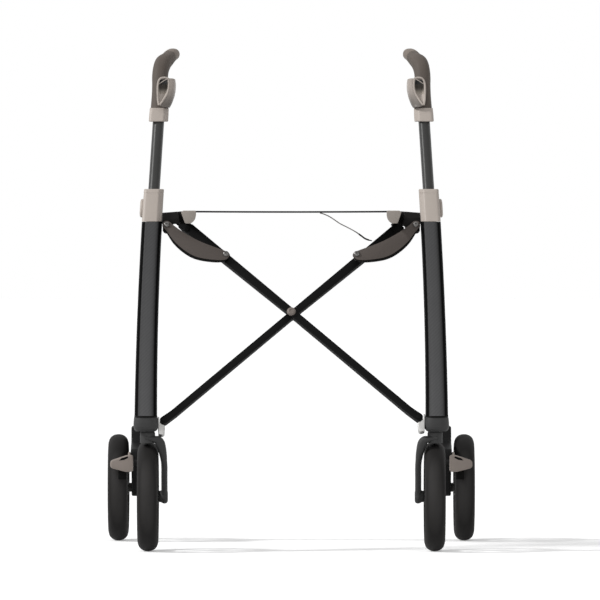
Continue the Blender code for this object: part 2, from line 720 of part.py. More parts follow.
def brake_lever(name, side):
    """A scooped finger lever: a broad curved wing on the grip's inner side, joined in front to a
    thin rim that loops round an opening."""
    top_z = LEVER_PIVOT_Z + 0.040
    low_z = LEVER_PIVOT_Z - 0.005
    x, _ = post_point(LEVER_PIVOT_Z)
    inner = x - GRIP_WIDTH / 2
    y = LEVER_PIVOT_Y + 0.002
    reach = y + LEVER_REACH
    stations = [((inner + 0.0004, y - 0.0180, top_z), (inner + 0.0165, y - 0.0250, low_z)),
                ((inner - 0.0070, y - 0.0130, top_z), (inner + 0.0010, y - 0.0215, low_z)),
                ((inner - 0.0100, y, top_z), (inner - 0.0075, y - 0.0060, low_z + 0.001)),
                ((inner - 0.0110, y + 0.0300, top_z - 0.001),
                 (inner - 0.0100, y + 0.0260, low_z + 0.012)),
                ((inner - 0.0110, reach - 0.03, top_z - 0.003),
                 (inner - 0.0105, reach - 0.03, low_z + 0.022)),
                ((inner - 0.0108, reach - 0.008, top_z - 0.006),
                 (inner - 0.0105, reach - 0.008, low_z + 0.027)),
                ((inner - 0.0107, reach, top_z - 0.011),
                 (inner - 0.0106, reach, low_z + 0.031))]
    tops = smooth([a for a, _ in stations], 2)
    bottoms = smooth([b for _, b in stations], 2)
    rings = []
    last = len(tops) - 1
    for i, (high, low) in enumerate(zip(tops, bottoms)):
        ahead = tops[min(i + 1, last)] + bottoms[min(i + 1, last)]
        behind = tops[max(i - 1, 0)] + bottoms[max(i - 1, 0)]
        rise = (high - low).normalized()
        through = (ahead - behind).cross(rise).normalized()
        place = frame_at((high + low) / 2, rise.cross(through), rise)
        section = oval((high - low).length, LEVER_THICK, 3.0, 10)
        rings.append([(side * p.x, p.y, p.z) for p in ring_at(section, place)])
    made = loft(name, rings, BEIGE)
    hoop = [(inner + 0.0012, y - 0.0185, top_z - 0.003), (inner + 0.0060, y - 0.0190, top_z + 0.0010),
            (inner + 0.0125, y - 0.0198, top_z + 0.0006), (inner + 0.0172, y - 0.0205, top_z - 0.004),
            (inner + 0.0186, y - 0.0225, top_z - 0.018), (inner + 0.0180, y - 0.0242, low_z + 0.010),
            (inner + 0.0158, y - 0.0250, low_z + 0.0030)]
    path = smooth(hoop, 2)
    hoops = []
    last = len(path) - 1
    for i, point in enumerate(path):
        along = path[min(i + 1, last)] - path[max(i - 1, 0)]
        place = frame_at(point, along, (0, 1, 0))
        hoops.append([(side * p.x, p.y, p.z) for p in ring_at(oval(0.0041, 0.0039, 2.2, 6), place)])
    join(made, loft(name + "_hoop", hoops, BEIGE))
    hole = rod(name + "_hole", LEVER_PIN_RADIUS + RUN_GAP,
               (side * (inner + 0.004), LEVER_PIVOT_Y, LEVER_PIVOT_Z),
               (side * (inner - 0.030), LEVER_PIVOT_Y, LEVER_PIVOT_Z), BEIGE, 12)
    cut(made, hole)
    return made


def head_centre():
    """How far out the middle of a caster head lies."""
    return FRONT_TRACK / 2 + 0.003


def caster_head(name, side):
    """The dark end of the leg, with the bearing that the caster turns in."""
    y = (SWIVEL_Y + LEG_BASE_Y) / 2
    top = LEG_BASE_Z - RUN_GAP
    sizes = [(HEAD_BASE_Z, 0.86), (HEAD_BASE_Z + 0.004, 0.97), (HEAD_BASE_Z + 0.010, 1.0),
             (top - 0.004, 0.97), (top, 0.93)]
    rings = [flat_ring(oval(HEAD_WIDTH * k, HEAD_DEPTH * k, 3.0), head_centre(), y, z, side)
             for z, k in sizes]
    made = loft(name, rings, BLACK)
    swivel = (side * FRONT_TRACK / 2, SWIVEL_Y)
    roof = CROWN_BASE_Z + 0.016 + STEM_LENGTH + RUN_GAP
    cut(made, rod(name + "_bearing", STEM_RADIUS + RUN_GAP, (*swivel, HEAD_BASE_Z - 0.01),
                  (*swivel, roof), BLACK))
    return made


def caster_fork(name, side):
    """A one-sided fork: a crown on a stem, and an arm that arches over the wheel's inner side."""
    x = FRONT_TRACK / 2
    crown_top = HEAD_BASE_Z - RUN_GAP
    swivel = (side * x, SWIVEL_Y)
    arm_x = x - FORK_OUTBOARD
    path = smooth([(x + 0.004, SWIVEL_Y, CROWN_BASE_Z + 0.0065),
                   (x - 0.011, SWIVEL_Y, CROWN_BASE_Z + 0.0070),
                   (x - 0.0205, SWIVEL_Y + 0.0005, CROWN_BASE_Z + 0.0008),
                   (arm_x + 0.0020, SWIVEL_Y + 0.002, CROWN_BASE_Z - 0.0155),
                   (arm_x, SWIVEL_Y + 0.008, CROWN_BASE_Z - 0.0390),
                   (arm_x, FRONT_Y - 0.013, AXLE_Z + 0.028),
                   (arm_x, FRONT_Y - 0.001, AXLE_Z + 0.001)], 2)
    rings = []
    last = len(path) - 1
    for i, point in enumerate(path):
        along = path[min(i + 1, last)] - path[max(i - 1, 0)]
        width = FORK_WIDTH * (1 - 0.28 * i / last)
        place = frame_at(point, along, (0, 1, 0))
        bend = max(0.0, 1 - abs(i / last - 0.42) / 0.24)
        section = oval(width, FORK_THICK * (1 + 0.34 * bend), 2.8, 12)
        rings.append([(side * p.x, p.y, p.z) for p in ring_at(section, place)])
    made = loft(name, rings, BLACK)
    crown = rod(name + "_crown", CROWN_RADIUS, (*swivel, CROWN_BASE_Z), (*swivel, crown_top),
                BLACK, ROUND_STEPS)
    stem = rod(name + "_stem", STEM_RADIUS, (*swivel, CROWN_BASE_Z + 0.005),
               (*swivel, CROWN_BASE_Z + 0.016 + STEM_LENGTH), BLACK, 16)
    boss_in = arm_x - FORK_THICK / 2
    boss_out = x - HUB_INBOARD - RUN_GAP
    boss = rod(name + "_boss", FORK_BOSS_RADIUS, (side * (boss_in - 0.0004), FRONT_Y, AXLE_Z),
               (side * boss_out, FRONT_Y, AXLE_Z), BLACK, ROUND_STEPS)
    join(made, crown, stem, boss)
    cut(made, rod(name + "_bore", AXLE_RADIUS + RUN_GAP, (side * (boss_in + 0.002), FRONT_Y, AXLE_Z),
                  (side * (boss_out + 0.01), FRONT_Y, AXLE_Z), BLACK, 16))
    return made


def rear_leg(name, side):
    """The rear carbon leg: it leaves the front leg at seat height and arches down to the wheel,
    with the moulded cradle that holds the seat rail on its inner side."""
    lean = Vector((0, cos(PLANE_LEAN), -sin(PLANE_LEAN)))
    z0 = 0.544
    x0, y0 = leg_point(z0)
    start = Vector((x0, y0, z0)) + lean * (LEG_DEPTH / 2 * cos(PLANE_LEAN) + 0.0016)
    foot_x = HOUSING_OUTER_X - 0.0050 - REAR_LEG_WIDTH / 2 * 0.9
    y, out = LEG_BASE_Y, foot_x - x0
    points = [start, start + lean * 0.016 + Vector((0, 0, 0.002)),
              (x0 + out * 0.04, y + 0.242, 0.548), (x0 + out * CRADLE_SPREAD, y + 0.296, 0.543),
              (x0 + out * 0.26, y + 0.348, 0.518), (x0 + out * 0.47, REAR_Y - 0.099, 0.470),
              (x0 + out * 0.68, REAR_Y - 0.065, 0.402), (x0 + out * 0.83, REAR_Y - 0.040, 0.318),
              (x0 + out * 0.96, REAR_Y - 0.022, 0.250),
              (foot_x, REAR_Y - 0.012, REAR_LEG_FOOT_Z)]
    path = smooth(points, 2)
    rings = []
    last = len(path) - 1
    for i, point in enumerate(path):
        if i == 0:
            along = lean
        elif i == last:
            along = Vector((0, 0, -1))
        else:
            along = path[i + 1] - path[i - 1]
        share = i / last
        width = REAR_LEG_WIDTH * (1 - 0.1 * share)
        depth = REAR_LEG_DEPTH * (1 - 0.12 * share)
        place = frame_at(point, along)
        rings.append([(side * p.x, p.y, p.z) for p in ring_at(oval(width, depth, 2.8, 14), place)])
    made = loft(name, rings, CARBON)
    root = x0 + out * CRADLE_SPREAD - CRADLE_ROOT_INSET
    join(made, rail_cradle(name + "_cradle", side, root, REAR_CRADLE_Y, REAR_CRADLE_DEPTH,
                           0.0, CARBON))
    return made


def cradle_outline(root_x, drop):
    """The front view of a seat cradle: an arm from the leg to a slanted wall, and a lip under the
    rail. X grows outboard."""
    wall_top = RAIL_X + RAIL_TOP_WIDTH / 2 + 0.0015
    wall_low = RAIL_X + RAIL_TOP_WIDTH / 2 - 0.0045
    lip_x = RAIL_X - SHELF_LIP / 2
    shelf = RAIL_BASE_Z - RUN_GAP
    under = shelf - 0.0060
    return fillet([(wall_top, SEAT_TOP_Z - 0.0012), (wall_low, shelf), (lip_x, shelf),
                   (lip_x, under), (root_x, under - drop), (root_x, SEAT_TOP_Z - 0.005)],
                  [0.002, 0.0, 0.0015, 0.0015, 0.0, 0.0], 2)


def rail_cradle(name, side, root_x, y, depth, drop, material):
    """A cradle block between two depths, mirrored for the left side."""
    outline = cradle_outline(root_x, drop)
    place = Matrix(((side, 0, 0, 0), (0, 0, 1, 0), (0, 1, 0, 0), (0, 0, 0, 1)))
    return plate(name, [outline], depth, material, place, y)


def seat_bracket(name, side):
    """The black casting on the front leg: the arm that holds the seat rail, and the lug that the
    link plate turns on."""
    x, _ = leg_point(LINK_FRAME_Z)
    root = x - LEG_WIDTH_TOP / 2 - RUN_GAP - 0.0012
    wall_top = RAIL_X + RAIL_CAP_WIDTH / 2 + 0.0062
    wall_low = RAIL_X + RAIL_TOP_WIDTH / 2 + 0.0042
    base = RAIL_BASE_Z + 0.001
    outline = fillet([(wall_top, SEAT_TOP_Z - 0.0006), (wall_low, base), (root - 0.018, base),
                      (root - 0.021, LINK_FRAME_Z), (root - 0.010, LINK_FRAME_Z - 0.012),
                      (root, LINK_FRAME_Z - 0.012), (root, SEAT_TOP_Z - 0.0045)],
                     [0.002, 0.0015, 0.001, 0.006, 0.004, 0.0, 0.0], 2)
    place = Matrix(((side, 0, 0, 0), (0, 0, 1, 0), (0, 1, 0, 0), (0, 0, 0, 1)))
    made = plate(name, [outline], CRADLE_DEPTH, BLACK, place, CRADLE_FRONT_Y)
    toe_depth = 0.009
    toe_y = CRADLE_FRONT_Y + CRADLE_DEPTH - toe_depth
    toe = rail_cradle(name + "_toe", side, root - 0.012, toe_y, toe_depth - 0.0004, 0.0, BLACK)
    pivot = in_plane(side * LINK_FRAME_X, LINK_FRAME_Z)
    ahead = PLANE.to_3x3() @ Vector((0, 0, 1))
    front = bar_front() + TURN_GAP + 0.0012
    boss = rod(name + "_boss", LUG_RADIUS, pivot - ahead * 0.004, pivot + ahead * front, BLACK)
    sweep = box(name + "_sweep", (-0.4, 0.0, link_layer() - TURN_GAP), (0.4, 0.6, 0.1), BLACK, 0,
                PLANE)
    cut(made, sweep)
    join(made, toe, boss)
    cut(made, rod(name + "_bore", LINK_SCREW_RADIUS + RUN_GAP, pivot - ahead * 0.001,
                  pivot + ahead * (front + 0.01), BLACK, 12))
    return made


def bar_front():
    """How far the front cross bar's face lies in front of the folding plane."""
    return BAR_SPACING / 2 + BAR_DEPTH


def link_layer():
    """How far the link plates' back faces lie in front of the folding plane."""
    return bar_front() + TURN_GAP + 0.0012 + RUN_GAP


def link_pivots(side):
    """The link plate's pivots in plane coordinates: on the side frame and on the cross bar."""
    climb = 1 / cos(PLANE_LEAN)
    _, centre, _ = seat_of_pivot(side)
    slope = atan2(centre.y, LOW_PIVOT_X)
    frame = Vector((side * LINK_FRAME_X, (LINK_FRAME_Z - LOW_PIVOT_Z) * climb))
    bar = centre + Vector((side * cos(slope), sin(slope))) * LINK_BAR_REACH
    return frame, bar


def link_outline(length):
    """A leaf-shaped plate along X from its frame pivot, nearly straight above, bulging below."""
    shape = [(-0.0076, 0.001), (-0.0054, 0.0054), (0.0005, 0.0077), (0.012, 0.0058),
             (0.036, 0.0035), (0.070, 0.0040), (length - 0.004, 0.0075),
             (length + LINK_TIP * 0.7, 0.0055), (length + LINK_TIP, -0.0010),
             (length + LINK_TIP * 0.55, -0.0085), (length - 0.014, -0.0170),
             (length * 0.66, -LINK_BULGE * 0.95), (length * 0.46, -LINK_BULGE),
             (length * 0.24, -LINK_BULGE * 0.76), (0.006, -0.0118), (-0.0048, -0.0060)]
    return [(p.x, p.y) for p in smooth([Vector((x, y)) for x, y in shape], 2, closed=True)]


def link_place(side):
    """Where a link plate lies: X from its frame pivot to its bar pivot, Z forward."""
    frame, bar = link_pivots(side)
    along = bar - frame
    turn = atan2(along.y, along.x)
    flip = Matrix.Diagonal((1, side * -1, 1, 1))
    return PLANE @ Matrix.Translation((*frame, 0)) @ Matrix.Rotation(turn, 4, "Z") @ flip


def link_plate(name, side):
    """The leaf-shaped link from the side frame to the cross bar: a screw holds it to the frame,
    and a slot in its back guides the bar's pin."""
    frame, bar = link_pivots(side)
    length = (bar - frame).length
    hole = arc((0, 0), LINK_SCREW_RADIUS + RUN_GAP, 0, 330, 11)
    place, low = link_place(side), link_layer()
    made = plate(name, [link_outline(length), hole], LINK_THICK, TAUPE, place, low)
    slot = [(length + 0.0034, 0.0032), (length - 0.0465, 0.0038), (length - 0.0465, -0.0112),
            (length - 0.0280, -0.0112), (length - 0.0080, -0.0070), (length + 0.0034, -0.0034)]
    cut(made, plate(name + "_slot", [slot], LINK_SLOT_DEPTH + 0.01, TAUPE, place, low - 0.01))
    face = low + LINK_THICK
    boss = turned(name + "_boss", [(0, face + 0.003), (0.0022, face + 0.003),
                                   (0.0046, face + 0.0018), (0.0052, face), (0.0052, face - 0.001),
                                   (0, face - 0.001)],
                  TAUPE, place @ Matrix.Translation((length, 0, 0)), 12)
    join(made, boss)
    return made


def screw(name, plane_point, low, high):
    """A dome-headed screw, square to the folding plane, from its foot to under its head."""
    head = 0.0030
    radius = LINK_SCREW_RADIUS
    profile = [(0, high + head), (0.0022, high + head), (0.0046, high + head * 0.6),
               (0.0052, high), (radius, high), (radius, low), (0, low)]
    return turned(name, profile, STEEL, PLANE @ Matrix.Translation((*plane_point, 0)), 12)


def bar_pin(name, side):
    """The pin on the cross bar's face that slides in the link plate's slot."""
    _, bar = link_pivots(side)
    face = (bar_front() if side < 0 else -BAR_SPACING / 2) + RUN_GAP
    tip = link_layer() + LINK_SLOT_DEPTH - RUN_GAP
    profile = [(0, tip), (LINK_SCREW_RADIUS, tip), (LINK_SCREW_RADIUS, face + 0.0010),
               (0.0050, face + 0.0010), (0.0050, face), (0, face)]
    return turned(name, profile, STEEL, PLANE @ Matrix.Translation((*bar, 0)), 12)


def hinge_bracket(name, side):
    """The bright channel on the leg's foot that the cross bar's low end turns in, with its pin."""
    deep = -BAR_SPACING / 2 - BAR_DEPTH if side < 0 else BAR_SPACING / 2
    low = deep - TURN_GAP - BRACKET_WALL
    high = deep + BAR_DEPTH + TURN_GAP + BRACKET_WALL
    root = head_centre() - HEAD_WIDTH / 2 - RUN_GAP
    reach = root - LOW_PIVOT_X
    lobe = 0.0068
    top, foot = 0.013, -0.021
    outline = fillet([(reach, foot), (reach, top), (-lobe, top - 0.004), (-lobe, foot + 0.004)],
                     [0.0, 0.0, lobe * 0.95, lobe * 0.95], 3)
    outline = [(side * px, py) for px, py in outline]
    place = PLANE @ Matrix.Translation((side * LOW_PIVOT_X, 0, 0))
    made = plate(name, [outline], high - low, STEEL, place, low)
    ends = sorted((-side * 0.05, side * (reach - BRACKET_WALL)))
    room = box(name + "_room", (ends[0], -0.05, deep - TURN_GAP),
               (ends[1], 0.05, deep + BAR_DEPTH + TURN_GAP), STEEL, 0, place)
    cut(made, room)
    pin = turned(name + "_pin", [(0, high + 0.0012), (0.0045, high + 0.0012), (0.0045, high - 0.001),
                                 (PIVOT_PIN_RADIUS, high - 0.001), (PIVOT_PIN_RADIUS, low + 0.001),
                                 (0, low + 0.001)], STEEL, place, 12)
    join(made, pin)
    return made


def cross_bar(name, side):
    """A flat bar with rounded edges from one side's foot to the other side's top, with an eye at
    each end and a bore at the middle. The side is that of its top end."""
    low, centre, top = seat_of_pivot(side)
    forward = side < 0
    deep = BAR_SPACING / 2 if forward else -BAR_SPACING / 2 - BAR_DEPTH
    slope = atan2(centre.y - low.y, side * (centre.x - low.x))
    half = BAR_HEIGHT / 2
    climb = cos(slope), sin(slope)
    aside = -climb[1], climb[0]

    def at(along, across):
        return (climb[0] * along + aside[0] * across, climb[1] * along + aside[1] * across)

    start = side * low.x
    tilt = slope * 180 / pi
    eye = arc((start, 0), LOW_EYE_RADIUS, 90 + tilt, 270 + tilt, 6)
    roof = top.y + 0.0066
    upper_x = (roof - aside[1] * half) / climb[1]
    shoulder = at(upper_x, half)
    shoulder = (shoulder[0] + start, roof)
    tip = arc((side * top.x, top.y), TOP_EYE_RADIUS, -52, 58, 5)
    lower = ((tip[0][0] - start) * climb[0] + tip[0][1] * climb[1])
    under = [at(along, -half) for along in (BAR_TAPER, lower - 0.006)]
    over = at(BAR_TAPER, half)
    outline = eye + [(x + start, y) for x, y in under] + tip + [shoulder, (over[0] + start, over[1])]
    hole = TURN_GAP / 2 + PIVOT_PIN_RADIUS
    holes = [arc(point, hole, 0, 330, 11) for point in
             ((start, 0.0), (side * centre.x, centre.y), (side * top.x, top.y))]
    if side < 0:
        outline = [(-x, y) for x, y in outline][::-1]
        holes = [[(-x, y) for x, y in ring] for ring in holes]
    return bevelled(name, outline, BAR_DEPTH, BAR_BLACK, PLANE, deep, 0.0012, holes)


def centre_pivot(name):
    """The pin through both bars, with its round cap in front and a riveted end behind."""
    _, centre, _ = seat_of_pivot(1)
    front = bar_front() + RUN_GAP
    back = -bar_front() - RUN_GAP
    profile = [(0, front + 0.0042), (CAP_RADIUS * 0.62, front + 0.0042),
               (CAP_RADIUS * 0.92, front + 0.0026), (CAP_RADIUS, front + 0.0010),
               (CAP_RADIUS, front), (PIVOT_PIN_RADIUS, front), (PIVOT_PIN_RADIUS, back),
               (CAP_RADIUS * 0.8, back), (CAP_RADIUS * 0.7, back - 0.002), (0, back - 0.002)]
    return turned(name, profile, BEIGE, PLANE @ Matrix.Translation((0, centre.y, 0)), ROUND_STEPS)


def rail_section(width, height, shrink=0.0):
    """A seat rail's section: flat on top, slanted outboard, and round inboard. X grows outboard."""
    w, h = width / 2 - shrink, height - 2 * shrink
    top = SEAT_TOP_Z - shrink
    inner = [(-w, top - 0.002), (-w * 0.99, top - h * 0.40), (-w * 0.86, top - h * 0.68),
             (-w * 0.60, top - h * 0.88), (-w * 0.24, top - h)]
    return inner + [(w * 0.34, top - h), (w * 0.50, top - h * 0.94), (w, top - 0.003),
                    (w - 0.0015, top - 0.0006), (w - 0.004, top), (-w + 0.0015, top)]


def along_y(side, x):
    """Places a front-view outline whose X grows outboard, so that its thickness runs back."""
    return Matrix(((side, 0, 0, side * x), (0, 0, 1, 0), (0, 1, 0, 0), (0, 0, 0, 1)))


def seat_rail(name, side):
    """The tube that carries one edge of the seat."""
    section = rail_section(RAIL_TOP_WIDTH, RAIL_HEIGHT)
    return plate(name, [section], RAIL_REAR_Y - RAIL_FRONT_Y, CARBON, along_y(side, RAIL_X),
                 RAIL_FRONT_Y)


def rail_cap(name, side):
    """The moulded cap on the rail's front end."""
    section = rail_section(RAIL_CAP_WIDTH, RAIL_HEIGHT + 0.0004)
    low = RAIL_FRONT_Y - RUN_GAP - RAIL_CAP
    return bevelled(name, section, RAIL_CAP, BEIGE, along_y(side, RAIL_X), low, 0.0012)


def rail_bracket(name, side):
    """The tongue behind a cross bar's top eye that carries the seat rail, with its pin."""
    _, _, top = seat_of_pivot(side)
    forward = side < 0
    bar_back = BAR_SPACING / 2 if forward else -BAR_SPACING / 2 - BAR_DEPTH
    bar_face = bar_back + BAR_DEPTH
    thick = 0.0040
    high = bar_back - TURN_GAP / 2
    low = high - thick
    place = PLANE @ Matrix.Translation((*top, 0))
    rise = (RAIL_BASE_Z - 0.0012 - TOP_PIVOT_Z - high * sin(PLANE_LEAN)) / cos(PLANE_LEAN)
    outline = [(-0.0075, rise)] + arc((0, 0), 0.0075, 180, 360, 6) + [(0.0075, rise)]
    made = plate(name, [outline], thick, BLACK, place, low)
    y_back = (place @ Vector((0, rise, low))).y
    x = side * TOP_PIVOT_X
    shoe = box(name + "_shoe", (x - 0.0078, y_back - 0.0005, RAIL_BASE_Z - 0.0060),
               (x + 0.0078, y_back + 0.0040, RAIL_BASE_Z - RUN_GAP), BLACK)
    pin = turned(name + "_pin", [(0, bar_face + 0.0016), (0.0040, bar_face + 0.0016),
                                 (0.0046, bar_face + RUN_GAP), (PIVOT_PIN_RADIUS, bar_face + RUN_GAP),
                                 (PIVOT_PIN_RADIUS, low + 0.001), (0, low + 0.001)],
                 STEEL, place, 12)
    join(made, shoe, pin)
    return made


def rear_housing(name, side):
    """The moulded foot of the rear leg: it holds the axle, and a nose in front of it carries the
    stud that the brake arm turns on."""
    inner = HOUSING_OUTER_X - HOUSING_THICK
    top = REAR_LEG_FOOT_Z - RUN_GAP
    mid = REAR_Y - 0.012
    d = HOUSING_TOP_DEPTH / 2
    toe = HOUSING_TOE_RADIUS
    corners = [(mid - d, top), (mid + d, top), (REAR_Y + toe + 0.002, AXLE_Z + 0.010),
               (REAR_Y + toe, AXLE_Z - toe), (REAR_Y - toe, AXLE_Z - toe),
               (REAR_Y - toe - 0.004, AXLE_Z + 0.010), (mid - d - 0.006, AXLE_Z + 0.038),
               (BRAKE_PIN_Y + 0.006, BRAKE_PIN_Z - 0.012),
               (BRAKE_PIN_Y - 0.008, BRAKE_PIN_Z - 0.010),
               (BRAKE_PIN_Y - 0.008, BRAKE_PIN_Z + 0.009),
               (BRAKE_PIN_Y + 0.006, BRAKE_PIN_Z + 0.012), (mid - d - 0.003, BRAKE_PIN_Z + 0.022)]
    radii = [0.005, 0.006, 0.0, 0.013, 0.013, 0.0, 0.010, 0.0, 0.006, 0.006, 0.0, 0.010]
    outline = fillet(corners, radii, 3)
    place = Matrix(((0, 0, side, side * inner), (1, 0, 0, 0), (0, 1, 0, 0), (0, 0, 0, 1)))
    made = bevelled(name, outline, HOUSING_THICK, CARBON, place, 0.0, 0.0022)
    reach = REAR_TRACK / 2 - TYRE_WIDTH / 2 - 0.0008
    stud = rod(name + "_stud", BRAKE_PIN_RADIUS, (side * (HOUSING_OUTER_X - 0.004), BRAKE_PIN_Y,
                                                  BRAKE_PIN_Z),
               (side * reach, BRAKE_PIN_Y, BRAKE_PIN_Z), CARBON, 12)
    join(made, stud)
    cut(made, rod(name + "_bore", AXLE_RADIUS + RUN_GAP, (side * (inner + 0.002), REAR_Y, AXLE_Z),
                  (side * (HOUSING_OUTER_X + 0.01), REAR_Y, AXLE_Z), CARBON, 16))
    return made


def brake_arm(name, side):
    """The brake's outer arm: it tapers across the front of the rear tyre, and an ear on its back
    turns on the housing's stud."""
    root = HOUSING_OUTER_X - 0.0045
    low, high = BRAKE_PIN_Z - 0.0305, BRAKE_PIN_Z - 0.001
    outline = fillet([(root, low), (root + 0.013, low), (ARM_TIP_X, low + 0.0070),
                      (ARM_TIP_X, low + 0.0200), (root + 0.012, high), (root, high + 0.001)],
                     [0.004, 0.006, 0.0064, 0.0064, 0.010, 0.004], 3)
    place = Matrix(((side, 0, 0, 0), (0, 0, 1, 0), (0, 1, 0, 0), (0, 0, 0, 1)))
    made = bevelled(name, outline, ARM_THICK, BEIGE, place, ARM_FRONT_Y, 0.0022)
    ear_in = HOUSING_OUTER_X + RUN_GAP
    ear_out = REAR_TRACK / 2 - TYRE_WIDTH / 2 - 0.0008
    ear = fillet([(ARM_FRONT_Y + 0.004, BRAKE_PIN_Z - 0.010), (BRAKE_PIN_Y + 0.006, BRAKE_PIN_Z - 0.007),
                  (BRAKE_PIN_Y + 0.006, BRAKE_PIN_Z + 0.006), (ARM_FRONT_Y + 0.004, BRAKE_PIN_Z - 0.002)],
                 [0.0, 0.005, 0.005, 0.0], 3)
    sideways = Matrix(((0, 0, side, side * ear_in), (1, 0, 0, 0), (0, 1, 0, 0), (0, 0, 0, 1)))
    join(made, plate(name + "_ear", [ear], ear_out - ear_in, BEIGE, sideways))
    cut(made, rod(name + "_hole", BRAKE_PIN_RADIUS + RUN_GAP,
                  (side * (ear_in - 0.02), BRAKE_PIN_Y, BRAKE_PIN_Z),
                  (side * (ear_out + 0.01), BRAKE_PIN_Y, BRAKE_PIN_Z), BEIGE, 12))
    return made


def brake_shoe(name, side):
    """The dark pad on the brake arm's back that presses on the tyre."""
    top = BRAKE_PIN_Z - 0.022
    low = top - SHOE_HEIGHT
    front = ARM_FRONT_Y + ARM_THICK + RUN_GAP
    reach = WHEEL_RADIUS + SHOE_TO_TYRE
    face = [(REAR_Y - (reach ** 2 - (z - AXLE_Z) ** 2) ** 0.5, z)
            for z in (low, low + SHOE_HEIGHT / 3, low + SHOE_HEIGHT * 2 / 3, top)]
    outline = [(front, low), *face, (front, top)]
    centre = REAR_TRACK / 2 - 0.009
    inner = centre - SHOE_WIDTH / 2
    place = Matrix(((0, 0, side, side * inner), (1, 0, 0, 0), (0, 1, 0, 0), (0, 0, 0, 1)))
    return plate(name, [outline], SHOE_WIDTH, BLACK, place, 0.0)


def seat_half(name, side):
    """Half of the sling seat, from its rail to the fold in the middle."""
    edge = RAIL_X - RAIL_TOP_WIDTH / 2 - RUN_GAP
    front, rear = RAIL_FRONT_Y + 0.002, RAIL_REAR_Y - 0.002
    hem = 0.012
    columns = [RUN_GAP / 2, edge * 0.5, edge - hem, edge]
    bm = bmesh.new()
    rows = [front, front + hem, front + 0.4 * (rear - front), rear - hem, rear]
    grid = [[bm.verts.new((side * x, y, SEAT_TOP_Z)) for x in columns] for y in rows]
    for low, high in zip(grid, grid[1:]):
        for i in range(len(columns) - 1):
            bm.faces.new((low[i], low[i + 1], high[i + 1], high[i]))
    bmesh.ops.recalc_face_normals(bm, faces=bm.faces)
    made = bmesh.ops.extrude_face_region(bm, geom=list(bm.faces))
    moved = [v for v in made["geom"] if isinstance(v, bmesh.types.BMVert)]
    bmesh.ops.translate(bm, verts=moved, vec=(0, 0, -SEAT_THICK))
    return solid(name, bm, CLOTH)


def seat_cord(name):
    """The thin cord from under the seat to the bar that rises to the right."""
    y = LEG_BASE_Y + 0.150
    route = [(0.0500, y, SEAT_UNDER_Z - 0.0014), (0.0560, y - 0.0003, 0.5815),
             (0.0652, y - 0.0008, 0.5775), (0.0750, y - 0.0017, 0.5714),
             (0.0845, y - 0.0028, 0.5648), (0.0980, y - 0.0045, 0.5580),
             (0.1122, y - 0.0063, 0.5502), (0.1215, y - 0.0077, 0.5436),
             (0.1275, y - 0.0087, 0.5392), (0.1335, y - 0.0096, 0.5366),
             (0.1400, y - 0.0102, 0.5350)]
    curve = bpy.data.curves.new(name, "CURVE")
    curve.dimensions = "3D"
    curve.bevel_depth = CORD_RADIUS
    curve.bevel_resolution = 1
    curve.use_fill_caps = True
    points = smooth(route, 2)
    spline = curve.splines.new("POLY")
    spline.points.add(len(points) - 1)
    for point, place in zip(spline.points, points):
        point.co = (*place, 1)
    made = bpy.data.objects.new(name, curve)
    PARTS.objects.link(made)
    curve.materials.append(CLOTH)
    return made


# The whole product

